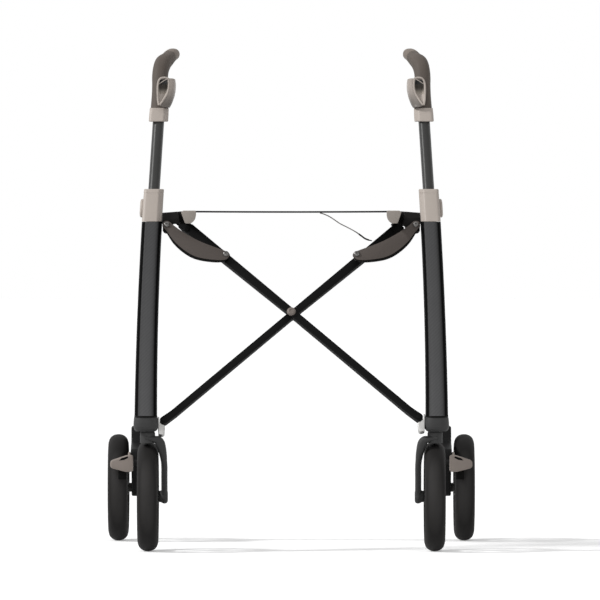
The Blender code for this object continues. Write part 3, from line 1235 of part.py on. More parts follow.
def build_side(word, side):
    """One side frame, with its post, lever, wheels, brake and link."""
    n = word + "_"
    x_front, x_rear = FRONT_TRACK / 2, REAR_TRACK / 2
    front_leg(n + "front_leg", side)
    rear_leg(n + "rear_leg", side)
    leg_sleeve(n + "leg_sleeve", side)
    seat_bracket(n + "seat_bracket", side)
    hinge_bracket(n + "hinge_bracket", side)
    caster_head(n + "caster_head", side)
    rear_housing(n + "rear_housing", side)
    axle(n + "rear_axle", x_rear, REAR_Y, side, HOUSING_OUTER_X - HOUSING_THICK + 0.004,
         HOUSING_OUTER_X + RUN_GAP)

    x_button, y_button = post_point(BUTTON_Z)
    button = lozenge(n + "height_button", side, 0.0, BUTTON_PROUD, -0.0008)
    carry(n + "button_slide", (side * (x_button + SLEEVE_WIDTH / 2), y_button, BUTTON_Z), [button])

    x_post, y_post = post_point(SLEEVE_TOP_Z)
    carry(n + "post_slide", (side * x_post, y_post, SLEEVE_TOP_Z),
          [handle_post(n + "handle_post", side), post_collar(n + "post_collar", side),
           hand_grip(n + "hand_grip", side)])
    x_lever = post_point(LEVER_PIVOT_Z)[0] - GRIP_WIDTH / 2
    carry(n + "lever_pivot", (side * x_lever, LEVER_PIVOT_Y, LEVER_PIVOT_Z),
          [brake_lever(n + "brake_lever", side)])

    carry(n + "caster_swivel", (side * x_front, SWIVEL_Y, HEAD_BASE_Z),
          [caster_fork(n + "caster_fork", side),
           axle(n + "front_axle", x_front, FRONT_Y, side, x_front - FORK_OUTBOARD - 0.002)])
    carry(n + "front_wheel_turn", (side * x_front, FRONT_Y, AXLE_Z),
          [tyre(n + "front_tyre", x_front, FRONT_Y, side),
           rim(n + "front_rim", x_front, FRONT_Y, side)])
    carry(n + "rear_wheel_turn", (side * x_rear, REAR_Y, AXLE_Z),
          [tyre(n + "rear_tyre", x_rear, REAR_Y, side),
           rim(n + "rear_rim", x_rear, REAR_Y, side)])
    carry(n + "brake_pivot", (side * HOUSING_OUTER_X, BRAKE_PIN_Y, BRAKE_PIN_Z),
          [brake_arm(n + "brake_arm", side), brake_shoe(n + "brake_shoe", side)])

    frame, _ = link_pivots(side)
    screw(n + "link_screw", frame, link_layer() - 0.011, link_layer() + LINK_THICK + RUN_GAP)
    carry(n + "link_pivot", PLANE @ Vector((*frame, 0)), [link_plate(n + "link_plate", side)])

    _, _, top = seat_of_pivot(side)
    carry(n + "rail_pivot", PLANE @ Vector((*top, 0)),
          [seat_rail(n + "seat_rail", side), rail_cap(n + "rail_cap", side),
           rail_bracket(n + "rail_bracket", side)])
    carry(n + "seat_hinge", (side * (RAIL_X - RAIL_TOP_WIDTH / 2), 0, SEAT_TOP_Z),
          [seat_half(n + "seat_half", side)])


def build():
    """The rollator."""
    build_side("left", -1)
    build_side("right", 1)
    low_left = in_plane(-LOW_PIVOT_X, LOW_PIVOT_Z)
    middle = in_plane(0, CROSS_Z)
    carry("fold_pivot", low_left, [cross_bar("rear_cross_bar", 1), bar_pin("right_link_pin", 1)])
    carry("cross_pivot", middle, [cross_bar("front_cross_bar", -1), centre_pivot("centre_pivot"),
                                  bar_pin("left_link_pin", -1)])
    seat_cord("seat_cord")


build()
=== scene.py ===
"""A folding rollator with carbon legs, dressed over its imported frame.

Metres, +Z up. The front faces -Y, and X runs from side to side, with left and right as seen from
the front. Every piece of a side is built for the right side and mirrored for the left one.
"""
from __future__ import annotations

import json
import logging
from dataclasses import dataclass
from enum import Enum
from functools import cache
from math import atan2, copysign, cos, degrees, hypot, pi, radians, sin, tan
from typing import Callable, Optional, Sequence

import bmesh
import bpy
from mathutils import Matrix, Vector

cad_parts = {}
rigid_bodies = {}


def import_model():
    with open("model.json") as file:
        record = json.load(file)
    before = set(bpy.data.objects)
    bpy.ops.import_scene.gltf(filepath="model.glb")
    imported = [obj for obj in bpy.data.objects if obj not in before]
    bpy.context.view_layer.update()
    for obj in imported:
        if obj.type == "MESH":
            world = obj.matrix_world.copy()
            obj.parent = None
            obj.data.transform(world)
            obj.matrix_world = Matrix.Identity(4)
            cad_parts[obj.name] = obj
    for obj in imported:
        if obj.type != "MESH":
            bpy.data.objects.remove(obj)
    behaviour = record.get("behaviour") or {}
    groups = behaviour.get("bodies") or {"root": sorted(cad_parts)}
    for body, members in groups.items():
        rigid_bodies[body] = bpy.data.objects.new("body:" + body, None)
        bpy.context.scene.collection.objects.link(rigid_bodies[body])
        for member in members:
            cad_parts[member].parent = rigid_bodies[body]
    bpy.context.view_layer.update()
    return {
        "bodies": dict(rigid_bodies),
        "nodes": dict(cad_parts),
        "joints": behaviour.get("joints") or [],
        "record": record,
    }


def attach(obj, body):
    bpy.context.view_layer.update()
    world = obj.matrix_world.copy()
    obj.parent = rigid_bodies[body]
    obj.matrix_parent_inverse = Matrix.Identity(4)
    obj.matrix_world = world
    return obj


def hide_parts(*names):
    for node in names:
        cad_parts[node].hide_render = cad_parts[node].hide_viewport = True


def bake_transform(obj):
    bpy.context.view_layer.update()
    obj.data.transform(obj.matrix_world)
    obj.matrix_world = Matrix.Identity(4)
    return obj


LOG = logging.getLogger("rollator")
Mesh = bmesh.types.BMesh
Socket = bpy.types.NodeSocket
Point2 = tuple[float, float]
Point3 = tuple[float, float, float]
Ring = list[Vector]

SHARP_EDGE = radians(32.0)       # a smooth piece's edges stay hard beyond this angle
ROUND_STEPS = 96                 # sides of a tyre and of a rim
COARSE_SHARE = 0.035             # the patches' scale, as a share of the grain's
BRUSH_STRETCH = (1.0, 1.0, 0.06)
BUMP_STRENGTH = 0.6
THREAD_SHARE = 0.49              # how much of a step of the weave the upper thread covers
CLOTH_THREADS = (0.94, 0.12, 0.0003)    # the low threads' level, the high ones' lift, the bump
TWILL_THREADS = (0.95, 0.10, 0.00001)
CORNER_SHARE = 0.48              # how much of an edge a rounded corner may take up
WHITE = (1.0, 1.0, 1.0, 1.0)


class Side(Enum):
    """The two sides of the rollator, as seen from the front."""

    LEFT = -1
    RIGHT = 1

    def word(self, piece: str) -> str:
        """The name of a piece or body on this side."""
        return f"{self.name.lower()}_{piece}"


# Finishes

class Nodes:
    """Writes shader nodes into one tree."""

    def __init__(self, tree: bpy.types.NodeTree) -> None:
        """Start on a material's or a group's node tree."""
        self.tree = tree

    def feed(self, socket: Socket, value: object) -> None:
        """Give an input a plain value, or link another node's output to it.

        Args:
            socket: the input.
            value: a plain value, or the socket that it is linked to.
        """
        if isinstance(value, bpy.types.NodeSocket):
            self.tree.links.new(value, socket)
        else:
            socket.default_value = value

    def add(self, kind: str, **values: object) -> bpy.types.Node:
        """Add a node.

        Args:
            kind: the node's type name without its ShaderNode prefix.
            values: settings of the node, or what its inputs are fed, by name.

        Returns:
            The new node.
        """
        node = self.tree.nodes.new(kind if kind.startswith("Node") else "ShaderNode" + kind)
        for key, value in values.items():
            if hasattr(node, key):
                setattr(node, key, value)
            else:
                self.feed(node.inputs[key.replace("_", " ")], value)
        return node

    def filled(self, kind: str, *values: object, **settings: object) -> Socket:
        """Add a node and feed its inputs in order.

        Args:
            kind: the node's type name, as in add.
            values: what its inputs are fed, in order.
            settings: its settings.

        Returns:
            The socket of its result.
        """
        node = self.add(kind, **settings)
        for socket, value in zip(node.inputs, values):
            self.feed(socket, value)
        return node.outputs[0]

    def maths(self, operation: str, *values: object) -> Socket:
        """The result of a math node with these values."""
        return self.filled("Math", *values, operation=operation)

    def scaled(self, colour: Socket, level: Socket) -> Socket:
        """A colour multiplied by a level."""
        return self.add("VectorMath", operation="SCALE", Vector=colour, Scale=level).outputs[0]


def new_group(name: str, inputs: dict[str, tuple[str, object]], outputs: dict[str, str]
              ) -> tuple[Nodes, object, object]:
    """Start a shader node group.

    Args:
        name: the group's name.
        inputs: the type and the default of each input, by name.
        outputs: the type of each output, by name.

    Returns:
        The group's nodes, the sockets that it is given and the sockets that it puts out.
    """
    tree = bpy.data.node_groups.new(name, "ShaderNodeTree")
    for title, (kind, value) in inputs.items():
        socket = tree.interface.new_socket(title, in_out="INPUT", socket_type="NodeSocket" + kind)
        if value is not None:
            socket.default_value = value
    for title, kind in outputs.items():
        tree.interface.new_socket(title, in_out="OUTPUT", socket_type="NodeSocket" + kind)
    nodes = Nodes(tree)
    return nodes, nodes.add("NodeGroupInput").outputs, nodes.add("NodeGroupOutput").inputs


@cache
def grain_group() -> bpy.types.NodeTree:
    """The moulded surface that most finishes share: a fine grain, and soft patches of tone.

    Returns:
        A group with a colour, a roughness and a height that change over the surface.
    """
    group, given, out = new_group(
        "surface_grain",
        {"Vector": ("Vector", None), "Colour": ("Color", (0.5, 0.5, 0.5, 1.0)),
         "Roughness": ("Float", 0.5), "Scale": ("Float", 900.0), "Patches": ("Float", 0.1),
         "Spread": ("Float", 0.1)},
        {"Colour": "Color", "Roughness": "Float", "Height": "Float"})
    fine = group.add("TexNoise", Detail=3.0, Vector=given["Vector"],
                     Scale=given["Scale"]).outputs[0]
    coarse = group.add("TexNoise", Detail=2.0, Vector=given["Vector"],
                       Scale=group.maths("MULTIPLY", given["Scale"], COARSE_SHARE)).outputs[0]
    lift = group.maths("MULTIPLY", group.maths("SUBTRACT", coarse, 0.5), given["Patches"])
    tone = group.maths("ADD", group.maths("MULTIPLY", lift, 2.0), 1.0)
    swing = group.maths("MULTIPLY", group.maths("SUBTRACT", fine, 0.5), given["Spread"])
    group.feed(out["Colour"], group.scaled(given["Colour"], tone))
    group.feed(out["Roughness"], group.maths("ADD", swing, given["Roughness"]))
    group.feed(out["Height"], fine)
    return group.tree


@cache
def weave_group() -> bpy.types.NodeTree:
    """A woven surface: threads over and under, or the diagonal steps of a twill.

    Returns:
        A group with a height and a mask of the threads that run across.
    """
    group, given, out = new_group(
        "woven_threads",
        {"Vector": ("Vector", None), "Pitch": ("Float", 0.001), "Twill": ("Float", 0.0)},
        {"Height": "Float", "Mask": "Float"})
    split = group.add("SeparateXYZ", Vector=given["Vector"]).outputs
    along, across = (group.maths("DIVIDE", split[i], given["Pitch"]) for i in range(2))
    steps = group.maths("ADD", group.maths("FLOOR", along), group.maths("FLOOR", across))
    cycle = group.maths("ADD", group.maths("MULTIPLY", given["Twill"], 2.0), 2.0)
    phase = group.maths("FRACT", group.maths("DIVIDE", steps, cycle))
    mask = group.maths("LESS_THAN", phase, THREAD_SHARE)
    ridges = [group.maths("ABSOLUTE", group.maths("SINE", group.maths("MULTIPLY", way, pi)))
              for way in (along, across)]
    shown = [group.maths("MULTIPLY", ridge, part)
             for ridge, part in zip(ridges, (mask, group.maths("SUBTRACT", 1.0, mask)))]
    group.feed(out["Height"], group.maths("ADD", *shown))
    group.feed(out["Mask"], mask)
    return group.tree


class Pattern(Enum):
    """What runs over a finish besides its grain."""

    NONE = "none"
    TWILL = "twill"
    CLOTH = "cloth"
    BRUSHED = "brushed"


@dataclass(frozen=True)
class Finish:
    """One finish: its colour and gloss, its grain, and where it darkens.

    rim is how much painted shade darkens it where it turns from the eye, in place of the dark
    reflections at an edge, and turn how soon. fade holds a height, a second height, and the
    level that the colour has at the first: painted shade on the lever's wing and pocket, and
    a darker lower end on the cord.
    """

    name: str
    slot: str
    colour: Point3
    roughness: float
    specular: float = 0.5
    depth: float = 0.00006
    patches: float = 0.08
    metallic: float = 0.0
    grain: float = 900.0
    spread: float = 0.10
    pattern: Pattern = Pattern.NONE
    pitch: float = 0.0012
    rim: float = 0.0
    turn: float = 1.6
    fade: Optional[Point3] = None

    def material(self) -> bpy.types.Material:
        """The finish's procedural material, built when it is first asked for.

        Returns:
            The material, which reads Object coordinates, or UVs on cloth.
        """
        made = bpy.data.materials.get(self.name)
        if made is not None:
            return made
        made = bpy.data.materials.new(self.name)
        made.use_nodes = True
        nodes = Nodes(made.node_tree)
        place = nodes.add("TexCoord").outputs
        point = place["Object"]
        if self.pattern is Pattern.BRUSHED:
            point = nodes.add("Mapping", Vector=point, Scale=BRUSH_STRETCH).outputs["Vector"]
        grain = nodes.add("Group", node_tree=grain_group(), Vector=point,
                          Colour=(*self.colour, 1.0), Roughness=self.roughness, Scale=self.grain,
                          Patches=self.patches, Spread=self.spread).outputs
        colour, height, depth = grain["Colour"], grain["Height"], self.depth
        specular: object = self.specular
        if self.pattern in (Pattern.TWILL, Pattern.CLOTH):
            colour, height, depth = self.woven(nodes, place, colour)
        # Painted shade: the colour and the gloss darken where the surface turns from the eye.
        if self.rim:
            away = nodes.add("LayerWeight", Blend=0.5).outputs["Facing"]
            level = nodes.maths("SUBTRACT", 1.0, nodes.maths(
                "MINIMUM", nodes.maths("MULTIPLY", away, self.turn), self.rim))
            colour = nodes.scaled(colour, level)
            specular = nodes.maths("MULTIPLY", level, self.specular)
        # Darker towards one height: painted shade on the lever's wing and pocket, a darker lower
        # end on the cord.
        if self.fade:
            start, end, floor = self.fade
            rise = nodes.add("SeparateXYZ", Vector=place["Object"]).outputs[2]
            colour = nodes.scaled(colour, nodes.add(
                "MapRange", interpolation_type="SMOOTHSTEP", Value=rise, From_Min=start,
                From_Max=end, To_Min=floor, To_Max=1.0).outputs[0])
        bump = nodes.add("Bump", Distance=depth, Strength=BUMP_STRENGTH, Height=height)
        shader = made.node_tree.nodes["Principled BSDF"]
        for title, value in (("Base Color", colour), ("Roughness", grain["Roughness"]),
                             ("Metallic", self.metallic), ("Specular IOR Level", specular),
                             ("Normal", bump.outputs["Normal"])):
            nodes.feed(shader.inputs[title], value)
        return made

    def woven(self, nodes: Nodes, place: object, colour: Socket) -> tuple[Socket, Socket, float]:
        """Add the threads of a cloth, or the twill of the carbon.

        Args:
            nodes: the material's nodes.
            place: the sockets of its texture coordinates.
            colour: the colour so far.

        Returns:
            The new colour, the height for the bump, and the bump's depth in metres.
        """
        cloth = self.pattern is Pattern.CLOTH
        base, lift, depth = CLOTH_THREADS if cloth else TWILL_THREADS
        turned = nodes.add("Mapping", Vector=place["UV" if cloth else "Object"],
                           Rotation=(0.0 if cloth else radians(90), 0.0, 0.0))
        weave = nodes.add("Group", node_tree=weave_group(), Vector=turned.outputs["Vector"],
                          Pitch=self.pitch, Twill=0.0 if cloth else 1.0).outputs
        shade = nodes.maths("MULTIPLY", weave["Mask"], lift)
        if cloth:
            normal = nodes.add("NewGeometry").outputs["True Normal"]
            flat = nodes.maths("ABSOLUTE", nodes.add("SeparateXYZ", Vector=normal).outputs[2])
            shade = nodes.maths("MULTIPLY", shade, flat)
        return nodes.scaled(colour, nodes.maths("ADD", shade, base)), weave["Height"], depth


# Its rim darkens the edges that turn from the eye: painted shade.
CARBON = Finish("clear_coated_carbon", "carbon", (0.085, 0.085, 0.087), 0.36, 0.12, 0.00001, 0.05,
                spread=0.03, pattern=Pattern.TWILL, pitch=0.0016, rim=0.96, turn=3.2)
BEIGE = Finish("beige_moulding", "beige", (0.36, 0.318, 0.285), 0.50, 0.3, 0.00008, 0.05)
GRIP = Finish("taupe_grip", "grip", (0.080, 0.066, 0.056), 0.66, 0.2, 0.00015, 0.10, grain=1400.0)
GRIP_END = Finish("brown_grip_end", "grip", (0.13, 0.105, 0.086), 0.55, 0.2, 0.00008,
                  grain=1200.0)
POST = Finish("anodised_post", "post", (0.036, 0.036, 0.035), 0.42, 0.2, 0.00002, 0.06,
              metallic=0.30, pattern=Pattern.BRUSHED)
NYLON = Finish("black_nylon", "black_nylon", (0.0055, 0.0055, 0.0055), 0.52, 0.09, 0.0001)
HOUSING = Finish("dark_housing", "carbon", (0.008, 0.008, 0.008), 0.48, 0.10, 0.00008)
BAR = Finish("anodised_bar", "bar_black", (0.0035, 0.0035, 0.0035), 0.50, 0.06, 0.00002,
             pattern=Pattern.BRUSHED)
TAUPE = Finish("taupe_powder_coat", "taupe", (0.066, 0.055, 0.049), 0.60, 0.2, 0.0001, 0.06)
STEEL = Finish("brushed_steel", "steel", (0.36, 0.36, 0.36), 0.46, depth=0.00003, metallic=0.9,
               pattern=Pattern.BRUSHED)
DARK_STEEL = Finish("dark_screw", "steel", (0.050, 0.048, 0.046), 0.45, 0.2, 0.00002,
                    metallic=0.5)
# Its rim darkens the tyre's edges that turn from the eye: painted shade.
RUBBER = Finish("tyre_rubber", "tyre", (0.027, 0.0255, 0.025), 0.68, 0.16, 0.0002, 0.16,
                grain=700.0, rim=0.5)
RIM = Finish("rim_nylon", "rim", (0.016, 0.0155, 0.015), 0.52, 0.18, 0.0001)
CLOTH = Finish("woven_seat", "cloth", (0.022, 0.022, 0.023), 0.85, 0.12, pattern=Pattern.CLOTH,
               pitch=0.0022)
# A darker copy of the beige moulding for the rail caps: painted shade.
SHADED_CAP_BEIGE = Finish("rail_cap_beige", "beige", (0.255, 0.228, 0.204), 0.50, 0.3, 0.00008)
# A still darker copy of the beige for the centre pivot cap: painted shade.
SHADED_PIVOT_BEIGE = Finish("pivot_cap_beige", "beige", (0.150, 0.128, 0.114), 0.50, 0.3, 0.00008)
# The lever's wing: beige that fades darker towards its foot, painted shade.
SHADED_WING = Finish("lever_wing_beige", "beige", (0.335, 0.296, 0.266), 0.50, 0.3, 0.00008, 0.05,
              fade=(0.769, 0.808, 0.36))
BRACKET = Finish("bracket_nylon", "black_nylon", (0.0085, 0.0078, 0.0074), 0.55, 0.08, 0.0001)
SCREW = Finish("plated_screw", "steel", (0.13, 0.125, 0.12), 0.35, depth=0.00002, metallic=0.7)
CASTING = Finish("black_casting", "black_nylon", (0.0035, 0.0033, 0.0032), 0.55, 0.05, 0.0001)
POCKET = Finish("shaded_pocket", "beige", (0.34, 0.302, 0.262), 0.60, 0.1, 0.00008,
                fade=(0.8030, 0.7900, 0.16))
# A darker copy of the beige for the low brake arm: painted shade.
SHADED_ARM_BEIGE = Finish("brake_arm_beige", "beige", (0.235, 0.200, 0.178), 0.50, 0.3, 0.00008)
BRIGHT = Finish("cast_alloy", "steel", (0.42, 0.415, 0.405), 0.42, depth=0.0002, patches=0.35,
                metallic=0.6, grain=1200.0)
CORD = Finish("cord_braid", "cloth", (0.28, 0.27, 0.26), 0.7, 0.2, 0.0002, grain=2500.0,
              fade=(0.5450, 0.5540, 0.10))


# Shapes

def oval(width: float, depth: float, squareness: float = 2.6, count: int = 40) -> list[Point2]:
    """Points of a rounded section.

    Args:
        width: its size along the first direction.
        depth: its size along the second direction.
        squareness: 2 for an ellipse, and more for a squarer form.
        count: how many points it has.

    Returns:
        The points, once round.
    """
    def reach(size: float, share: float) -> float:
        """How far a point lies along a direction of a size."""
        return copysign(size / 2 * abs(share) ** (2 / squareness), share)

    turns = [2 * pi * (i + 0.5) / count for i in range(count)]
    return [(reach(width, cos(turn)), reach(depth, sin(turn))) for turn in turns]


def fillet(corners: Sequence[Point2], radii: Sequence[float], steps: int = 5) -> list[Point2]:
    """A closed outline with rounded corners.

    Args:
        corners: the corners, once round.
        radii: the radius at each corner, 0 for a sharp one.
        steps: how many edges each rounded corner has.

    Returns:
        The outline's points.
    """
    points: list[Point2] = []
    for i, (corner, radius) in enumerate(zip(corners, radii)):
        here = Vector(corner)
        back = Vector(corners[i - 1]) - here
        ahead = Vector(corners[(i + 1) % len(corners)]) - here
        if radius <= 0:
            points.append((here.x, here.y))
            continue
        half = back.angle(ahead) / 2
        reach = min(radius / tan(half), CORNER_SHARE * back.length,
                    CORNER_SHARE * ahead.length)
        middle = (back.normalized() + ahead.normalized()).normalized()
        centre = here + middle * hypot(reach, reach * tan(half))
        start = here + back.normalized() * reach - centre
        sweep = start.angle_signed(here + ahead.normalized() * reach - centre)
        for k in range(steps + 1):
            spot = centre + Matrix.Rotation(-sweep * k / steps, 2) @ start
            points.append((spot.x, spot.y))
    return points


def arc(centre: Point2, radius: float, start: float, end: float, steps: int) -> list[Point2]:
    """Points on an arc, from one angle to another in degrees."""
    turns = [radians(start + (end - start) * k / steps) for k in range(steps + 1)]
    return [(centre[0] + radius * cos(t), centre[1] + radius * sin(t)) for t in turns]


def smooth(points: Sequence[Sequence[float]], steps: int = 4, closed: bool = False) -> Ring:
    """Points on a smooth curve through the given ones.

    Args:
        points: the points to pass through.
        steps: how many points each span gets.
        closed: whether the curve runs back to its start.

    Returns:
        The curve's points.
    """
    path = [Vector(p) for p in points]
    count = len(path)
    made: Ring = []
    for i in range(count if closed else count - 1):
        p1, p2 = path[i], path[(i + 1) % count]
        p0 = path[i - 1] if closed or i > 0 else p1 * 2 - p2
        p3 = path[(i + 2) % count] if closed or i + 2 < count else p2 * 2 - p1
        for k in range(steps):
            t = k / steps
            made.append(0.5 * (2 * p1 + (p2 - p0) * t + (2 * p0 - 5 * p1 + 4 * p2 - p3) * t ** 2
                               + (3 * p1 - p0 - 3 * p2 + p3) * t ** 3))
    return made if closed else [*made, path[-1]]


def frame_at(centre: Sequence[float], along: Sequence[float],
             across: Sequence[float] = (1.0, 0.0, 0.0)) -> Matrix:
    """A place at a point, with Z along a direction and X as near as can be to another.

    Args:
        centre: the point.
        along: the direction of its Z.
        across: the direction that its X keeps to.

    Returns:
        The place.
    """
    z = Vector(along).normalized()
    y = z.cross(Vector(across)).normalized()
    x = y.cross(z)
    return Matrix.Translation(Vector(centre)) @ Matrix((x, y, z)).transposed().to_4x4()


def placed_ring(section: Sequence[Point2], place: Matrix) -> Ring:
    """A section laid in a place's own XY plane."""
    return [place @ Vector((x, y, 0.0)) for x, y in section]


def level_ring(section: Sequence[Point2], x: float, y: float, z: float) -> Ring:
    """A section laid level round a point."""
    return [Vector((x + px, y + py, z)) for px, py in section]


def swept(path: Ring, section: Callable[[float], list[Point2]],
          across: Sequence[float] = (1.0, 0.0, 0.0)) -> list[Ring]:
    """Rings along a path.

    Args:
        path: the path's points.
        section: gives the section at a share of the way.
        across: the direction that a section's width keeps to.

    Returns:
        The rings, in order.
    """
    last = len(path) - 1
    return [placed_ring(section(i / last),
                        frame_at(point, path[min(i + 1, last)] - path[max(i - 1, 0)], across))
            for i, point in enumerate(path)]


def skin(rings: Sequence[Ring]) -> Mesh:
    """A closed skin, drawn by extruding one ring through all the others.

    Args:
        rings: rings of equally many points, in order.

    Returns:
        The mesh, closed at both ends.
    """
    bm = bmesh.new()
    bmesh.ops.create_circle(bm, cap_ends=True, segments=len(rings[0]), radius=1.0)
    face = bm.faces[:][0]
    for vert, point in zip(face.verts, rings[0]):
        vert.co = point
    order = {tuple(v.co): i for i, v in enumerate(face.verts)}
    for ring in rings[1:]:
        made = bmesh.ops.extrude_face_region(bm, geom=[face])
        face = next(g for g in made["geom"] if isinstance(g, bmesh.types.BMFace))
        fresh = [(order[tuple(v.co)], v) for v in face.verts]
        for i, vert in fresh:
            vert.co = ring[i]
        order = {tuple(v.co): i for i, v in fresh}
    return bm


def slab(outline: Sequence[Point2], low: float, high: float, round_by: float, place: Matrix,
         segments: int = 3) -> Mesh:
    """A flat piece with rounded rims.

    Args:
        outline: its outline.
        low: the height of its lower face along the place's Z.
        high: the height of its upper face.
        round_by: how much its rims are rounded.
        place: where its outline lies.
        segments: how many steps the rounding has.

    Returns:
        The mesh.
    """
    bm = bmesh.new()
    face = bm.faces.new([bm.verts.new((x, y, low)) for x, y in outline])
    made = bmesh.ops.extrude_face_region(bm, geom=[face])
    moved = [v for v in made["geom"] if isinstance(v, bmesh.types.BMVert)]
    bmesh.ops.translate(bm, verts=moved, vec=(0, 0, high - low))
    rims = [e for e in bm.edges if abs(e.verts[0].co.z - e.verts[1].co.z) < 1e-9]
    bmesh.ops.bevel(bm, geom=rims, offset=round_by, offset_type="OFFSET", affect="EDGES",
                    segments=segments, profile=0.5, material=-1, clamp_overlap=True)
    bmesh.ops.transform(bm, matrix=place, verts=bm.verts)
    return bm


def spun(profile: Sequence[Point2], place: Matrix, steps: int = 24, ring: bool = False) -> Mesh:
    """A round piece: a profile of (radius, height) points, spun once round Z.

    Args:
        profile: the points, in order along the surface.
        place: where its axis stands.
        steps: how many sides it has.
        ring: whether the profile runs back to its start, and not flat to the axis at both ends.

    Returns:
        The mesh.
    """
    bm = bmesh.new()
    if not ring:
        profile = [(0.0, profile[0][1]), *profile]
        if profile[-1][0] > 0:
            profile.append((0.0, profile[-1][1]))
    verts = [bm.verts.new((r, 0.0, z)) for r, z in profile]
    pairs = list(zip(verts, verts[1:])) + [(verts[-1], verts[0])] * ring
    edges = [bm.edges.new(pair) for pair in pairs]
    bmesh.ops.spin(bm, geom=verts + edges, cent=(0, 0, 0), axis=(0, 0, 1), dvec=(0, 0, 0),
                   angle=2 * pi, steps=steps, use_merge=True, use_duplicate=False)
    bmesh.ops.remove_doubles(bm, verts=bm.verts, dist=1e-6)
    bmesh.ops.transform(bm, matrix=place, verts=bm.verts)
    return bm


def both_ways(half: Sequence[Point2]) -> list[Point2]:
    """A profile followed by its reflection at height 0."""
    return [*half, *((radius, -z) for radius, z in reversed(half))]


def tube(path: Sequence[Sequence[float]], radius: float, sides: int = 12) -> Mesh:
    """A round tube along a path, closed at both ends."""
    section = oval(2 * radius, 2 * radius, 2.0, sides)
    return skin(swept([Vector(p) for p in path], lambda _: section, (0, 1, 0)))


def merged(*parts: Mesh) -> Mesh:
    """Several meshes in one.

    Args:
        parts: the meshes, which are freed.

    Returns:
        The mesh of them all.
    """
    whole = bmesh.new()
    for part in parts:
        mesh = bpy.data.meshes.new("part")
        part.to_mesh(mesh)
        part.free()
        whole.from_mesh(mesh)
        bpy.data.meshes.remove(mesh)
    return whole


def shell(rows: Sequence[Sequence[Sequence[float]]], thickness: float) -> Mesh:
    """A thin closed wall behind rows of equally many points.

    Args:
        rows: the rows.
        thickness: how thick the wall is.

    Returns:
        The mesh.
    """
    bm = bmesh.new()
    wide = len(rows[0])
    bmesh.ops.create_grid(bm, x_segments=wide - 1, y_segments=len(rows) - 1, size=1.0)
    order = sorted(bm.verts, key=lambda v: (round(v.co.y, 5), round(v.co.x, 5)))
    for i, vert in enumerate(order):
        vert.co = rows[i // wide][i % wide]
    bmesh.ops.solidify(bm, geom=list(bm.faces), thickness=thickness)
    return bm


@dataclass
class Piece:
    """One piece to be added: its name, mesh, finish, body and the CAD nodes that it replaces."""

    name: str
    mesh: Mesh
    finish: Finish
    body: Optional[str]
    replaces: Sequence[str] = ()
    mirror: bool = False

    def make(self) -> bpy.types.Object:
        """Make the object and tie it to its body.

        Returns:
            The object, with its place in its mesh.
        """
        bm = self.mesh
        if self.mirror:
            bmesh.ops.scale(bm, vec=(-1.0, 1.0, 1.0), verts=bm.verts)
        bmesh.ops.remove_doubles(bm, verts=bm.verts, dist=1e-7)
        bmesh.ops.recalc_face_normals(bm, faces=bm.faces)
        mesh = bpy.data.meshes.new(self.name)
        bm.to_mesh(mesh)
        bm.free()
        mesh.materials.append(self.finish.material())
        mesh.shade_smooth()
        mesh.set_sharp_from_angle(angle=SHARP_EDGE)
        made = bpy.data.objects.new(self.name, mesh)
        bpy.context.scene.collection.objects.link(made)
        if self.body:
            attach(made, self.body)
        if self.replaces:
            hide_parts(*self.replaces)
        LOG.info("%s on %s, %d faces", self.name, self.body, len(mesh.polygons))
        return made


def fit(side: Side, title: str, mesh: Mesh, finish: Finish, body: str, *nodes: str) -> None:
    """Add one side's piece, mirrored on the left.

    Args:
        side: its side.
        title: its name, without the side.
        mesh: its mesh, as on the right side.
        finish: its finish.
        body: the body that it rides on, without the side unless it is a bar.
        nodes: the CAD nodes that it replaces, without the side.
    """
    rides_on = body if body.endswith("_bar") else side.word(body)
    Piece(side.word(title), mesh, finish, rides_on, [side.word(node) for node in nodes],
          side is Side.LEFT).make()


# Lines that the pieces share

@dataclass(frozen=True)
class Layout:
    """The sizes that several sub-assemblies share, for the right side."""

    gap: float = 0.0003
    lean: float = radians(25.0)
    leg_base: float = 0.2333
    leg_top: float = 0.5680
    leg_y: float = -0.262
    wheel_radius: float = 0.095 * cos(pi / 36)   # down to the flats of a tyre with 36 sides
    front_x: float = 0.2472
    rear_x: float = 0.3076
    axle_y: float = 0.231
    swivel_y: float = -0.266
    seat_top: float = 0.5875
    shelf: float = 0.5875 - 0.0228
    rail_x: float = 0.1783
    low_pivot: Point2 = (0.2195, 0.2276)
    top_pivot: Point2 = (0.1815, 0.5500)
    link_pivot: Point2 = (0.2165, 0.5552)
    cross_z: float = 0.4100
    sleeve_z: float = 0.620

    def leg(self, z: float) -> Point2:
        """The front leg's centre at a height, as x and y."""
        rise = z - self.leg_base
        return 0.2503 - 0.073 * max(0.0, rise) ** 2, self.leg_y + 0.400 * rise + 0.164 * rise ** 2

    def post(self, z: float) -> Point2:
        """The straight post's centre at a height, as x and y.

        Args:
            z: the height.

        Returns:
            The centre's x and y.
        """
        x, y = self.leg(self.sleeve_z)
        rise, above = self.sleeve_z - self.leg_base, z - self.sleeve_z
        return x - 0.146 * rise * above, y + (0.400 + 0.328 * rise) * above

    def in_plane(self, x: float, z: float) -> Point2:
        """A point of the folding plane, in its own coordinates, from its x and world height."""
        return x, (z - self.low_pivot[1]) / cos(self.lean)

    def plane(self, point: Point2 = (0.0, 0.0), forward: float = 0.0) -> Matrix:
        """A place on the folding plane, at a point of it: X sideways, Y up it, and Z forward.

        Args:
            point: the point, in the plane's own coordinates.
            forward: how far in front of the plane the place lies.

        Returns:
            The place.
        """
        c, s = cos(self.lean), sin(self.lean)
        whole = Matrix(((1, 0, 0, 0), (0, s, -c, self.leg_y), (0, c, s, self.low_pivot[1]),
                        (0, 0, 0, 1)))
        return whole @ Matrix.Translation((*point, forward))


LAY = Layout()


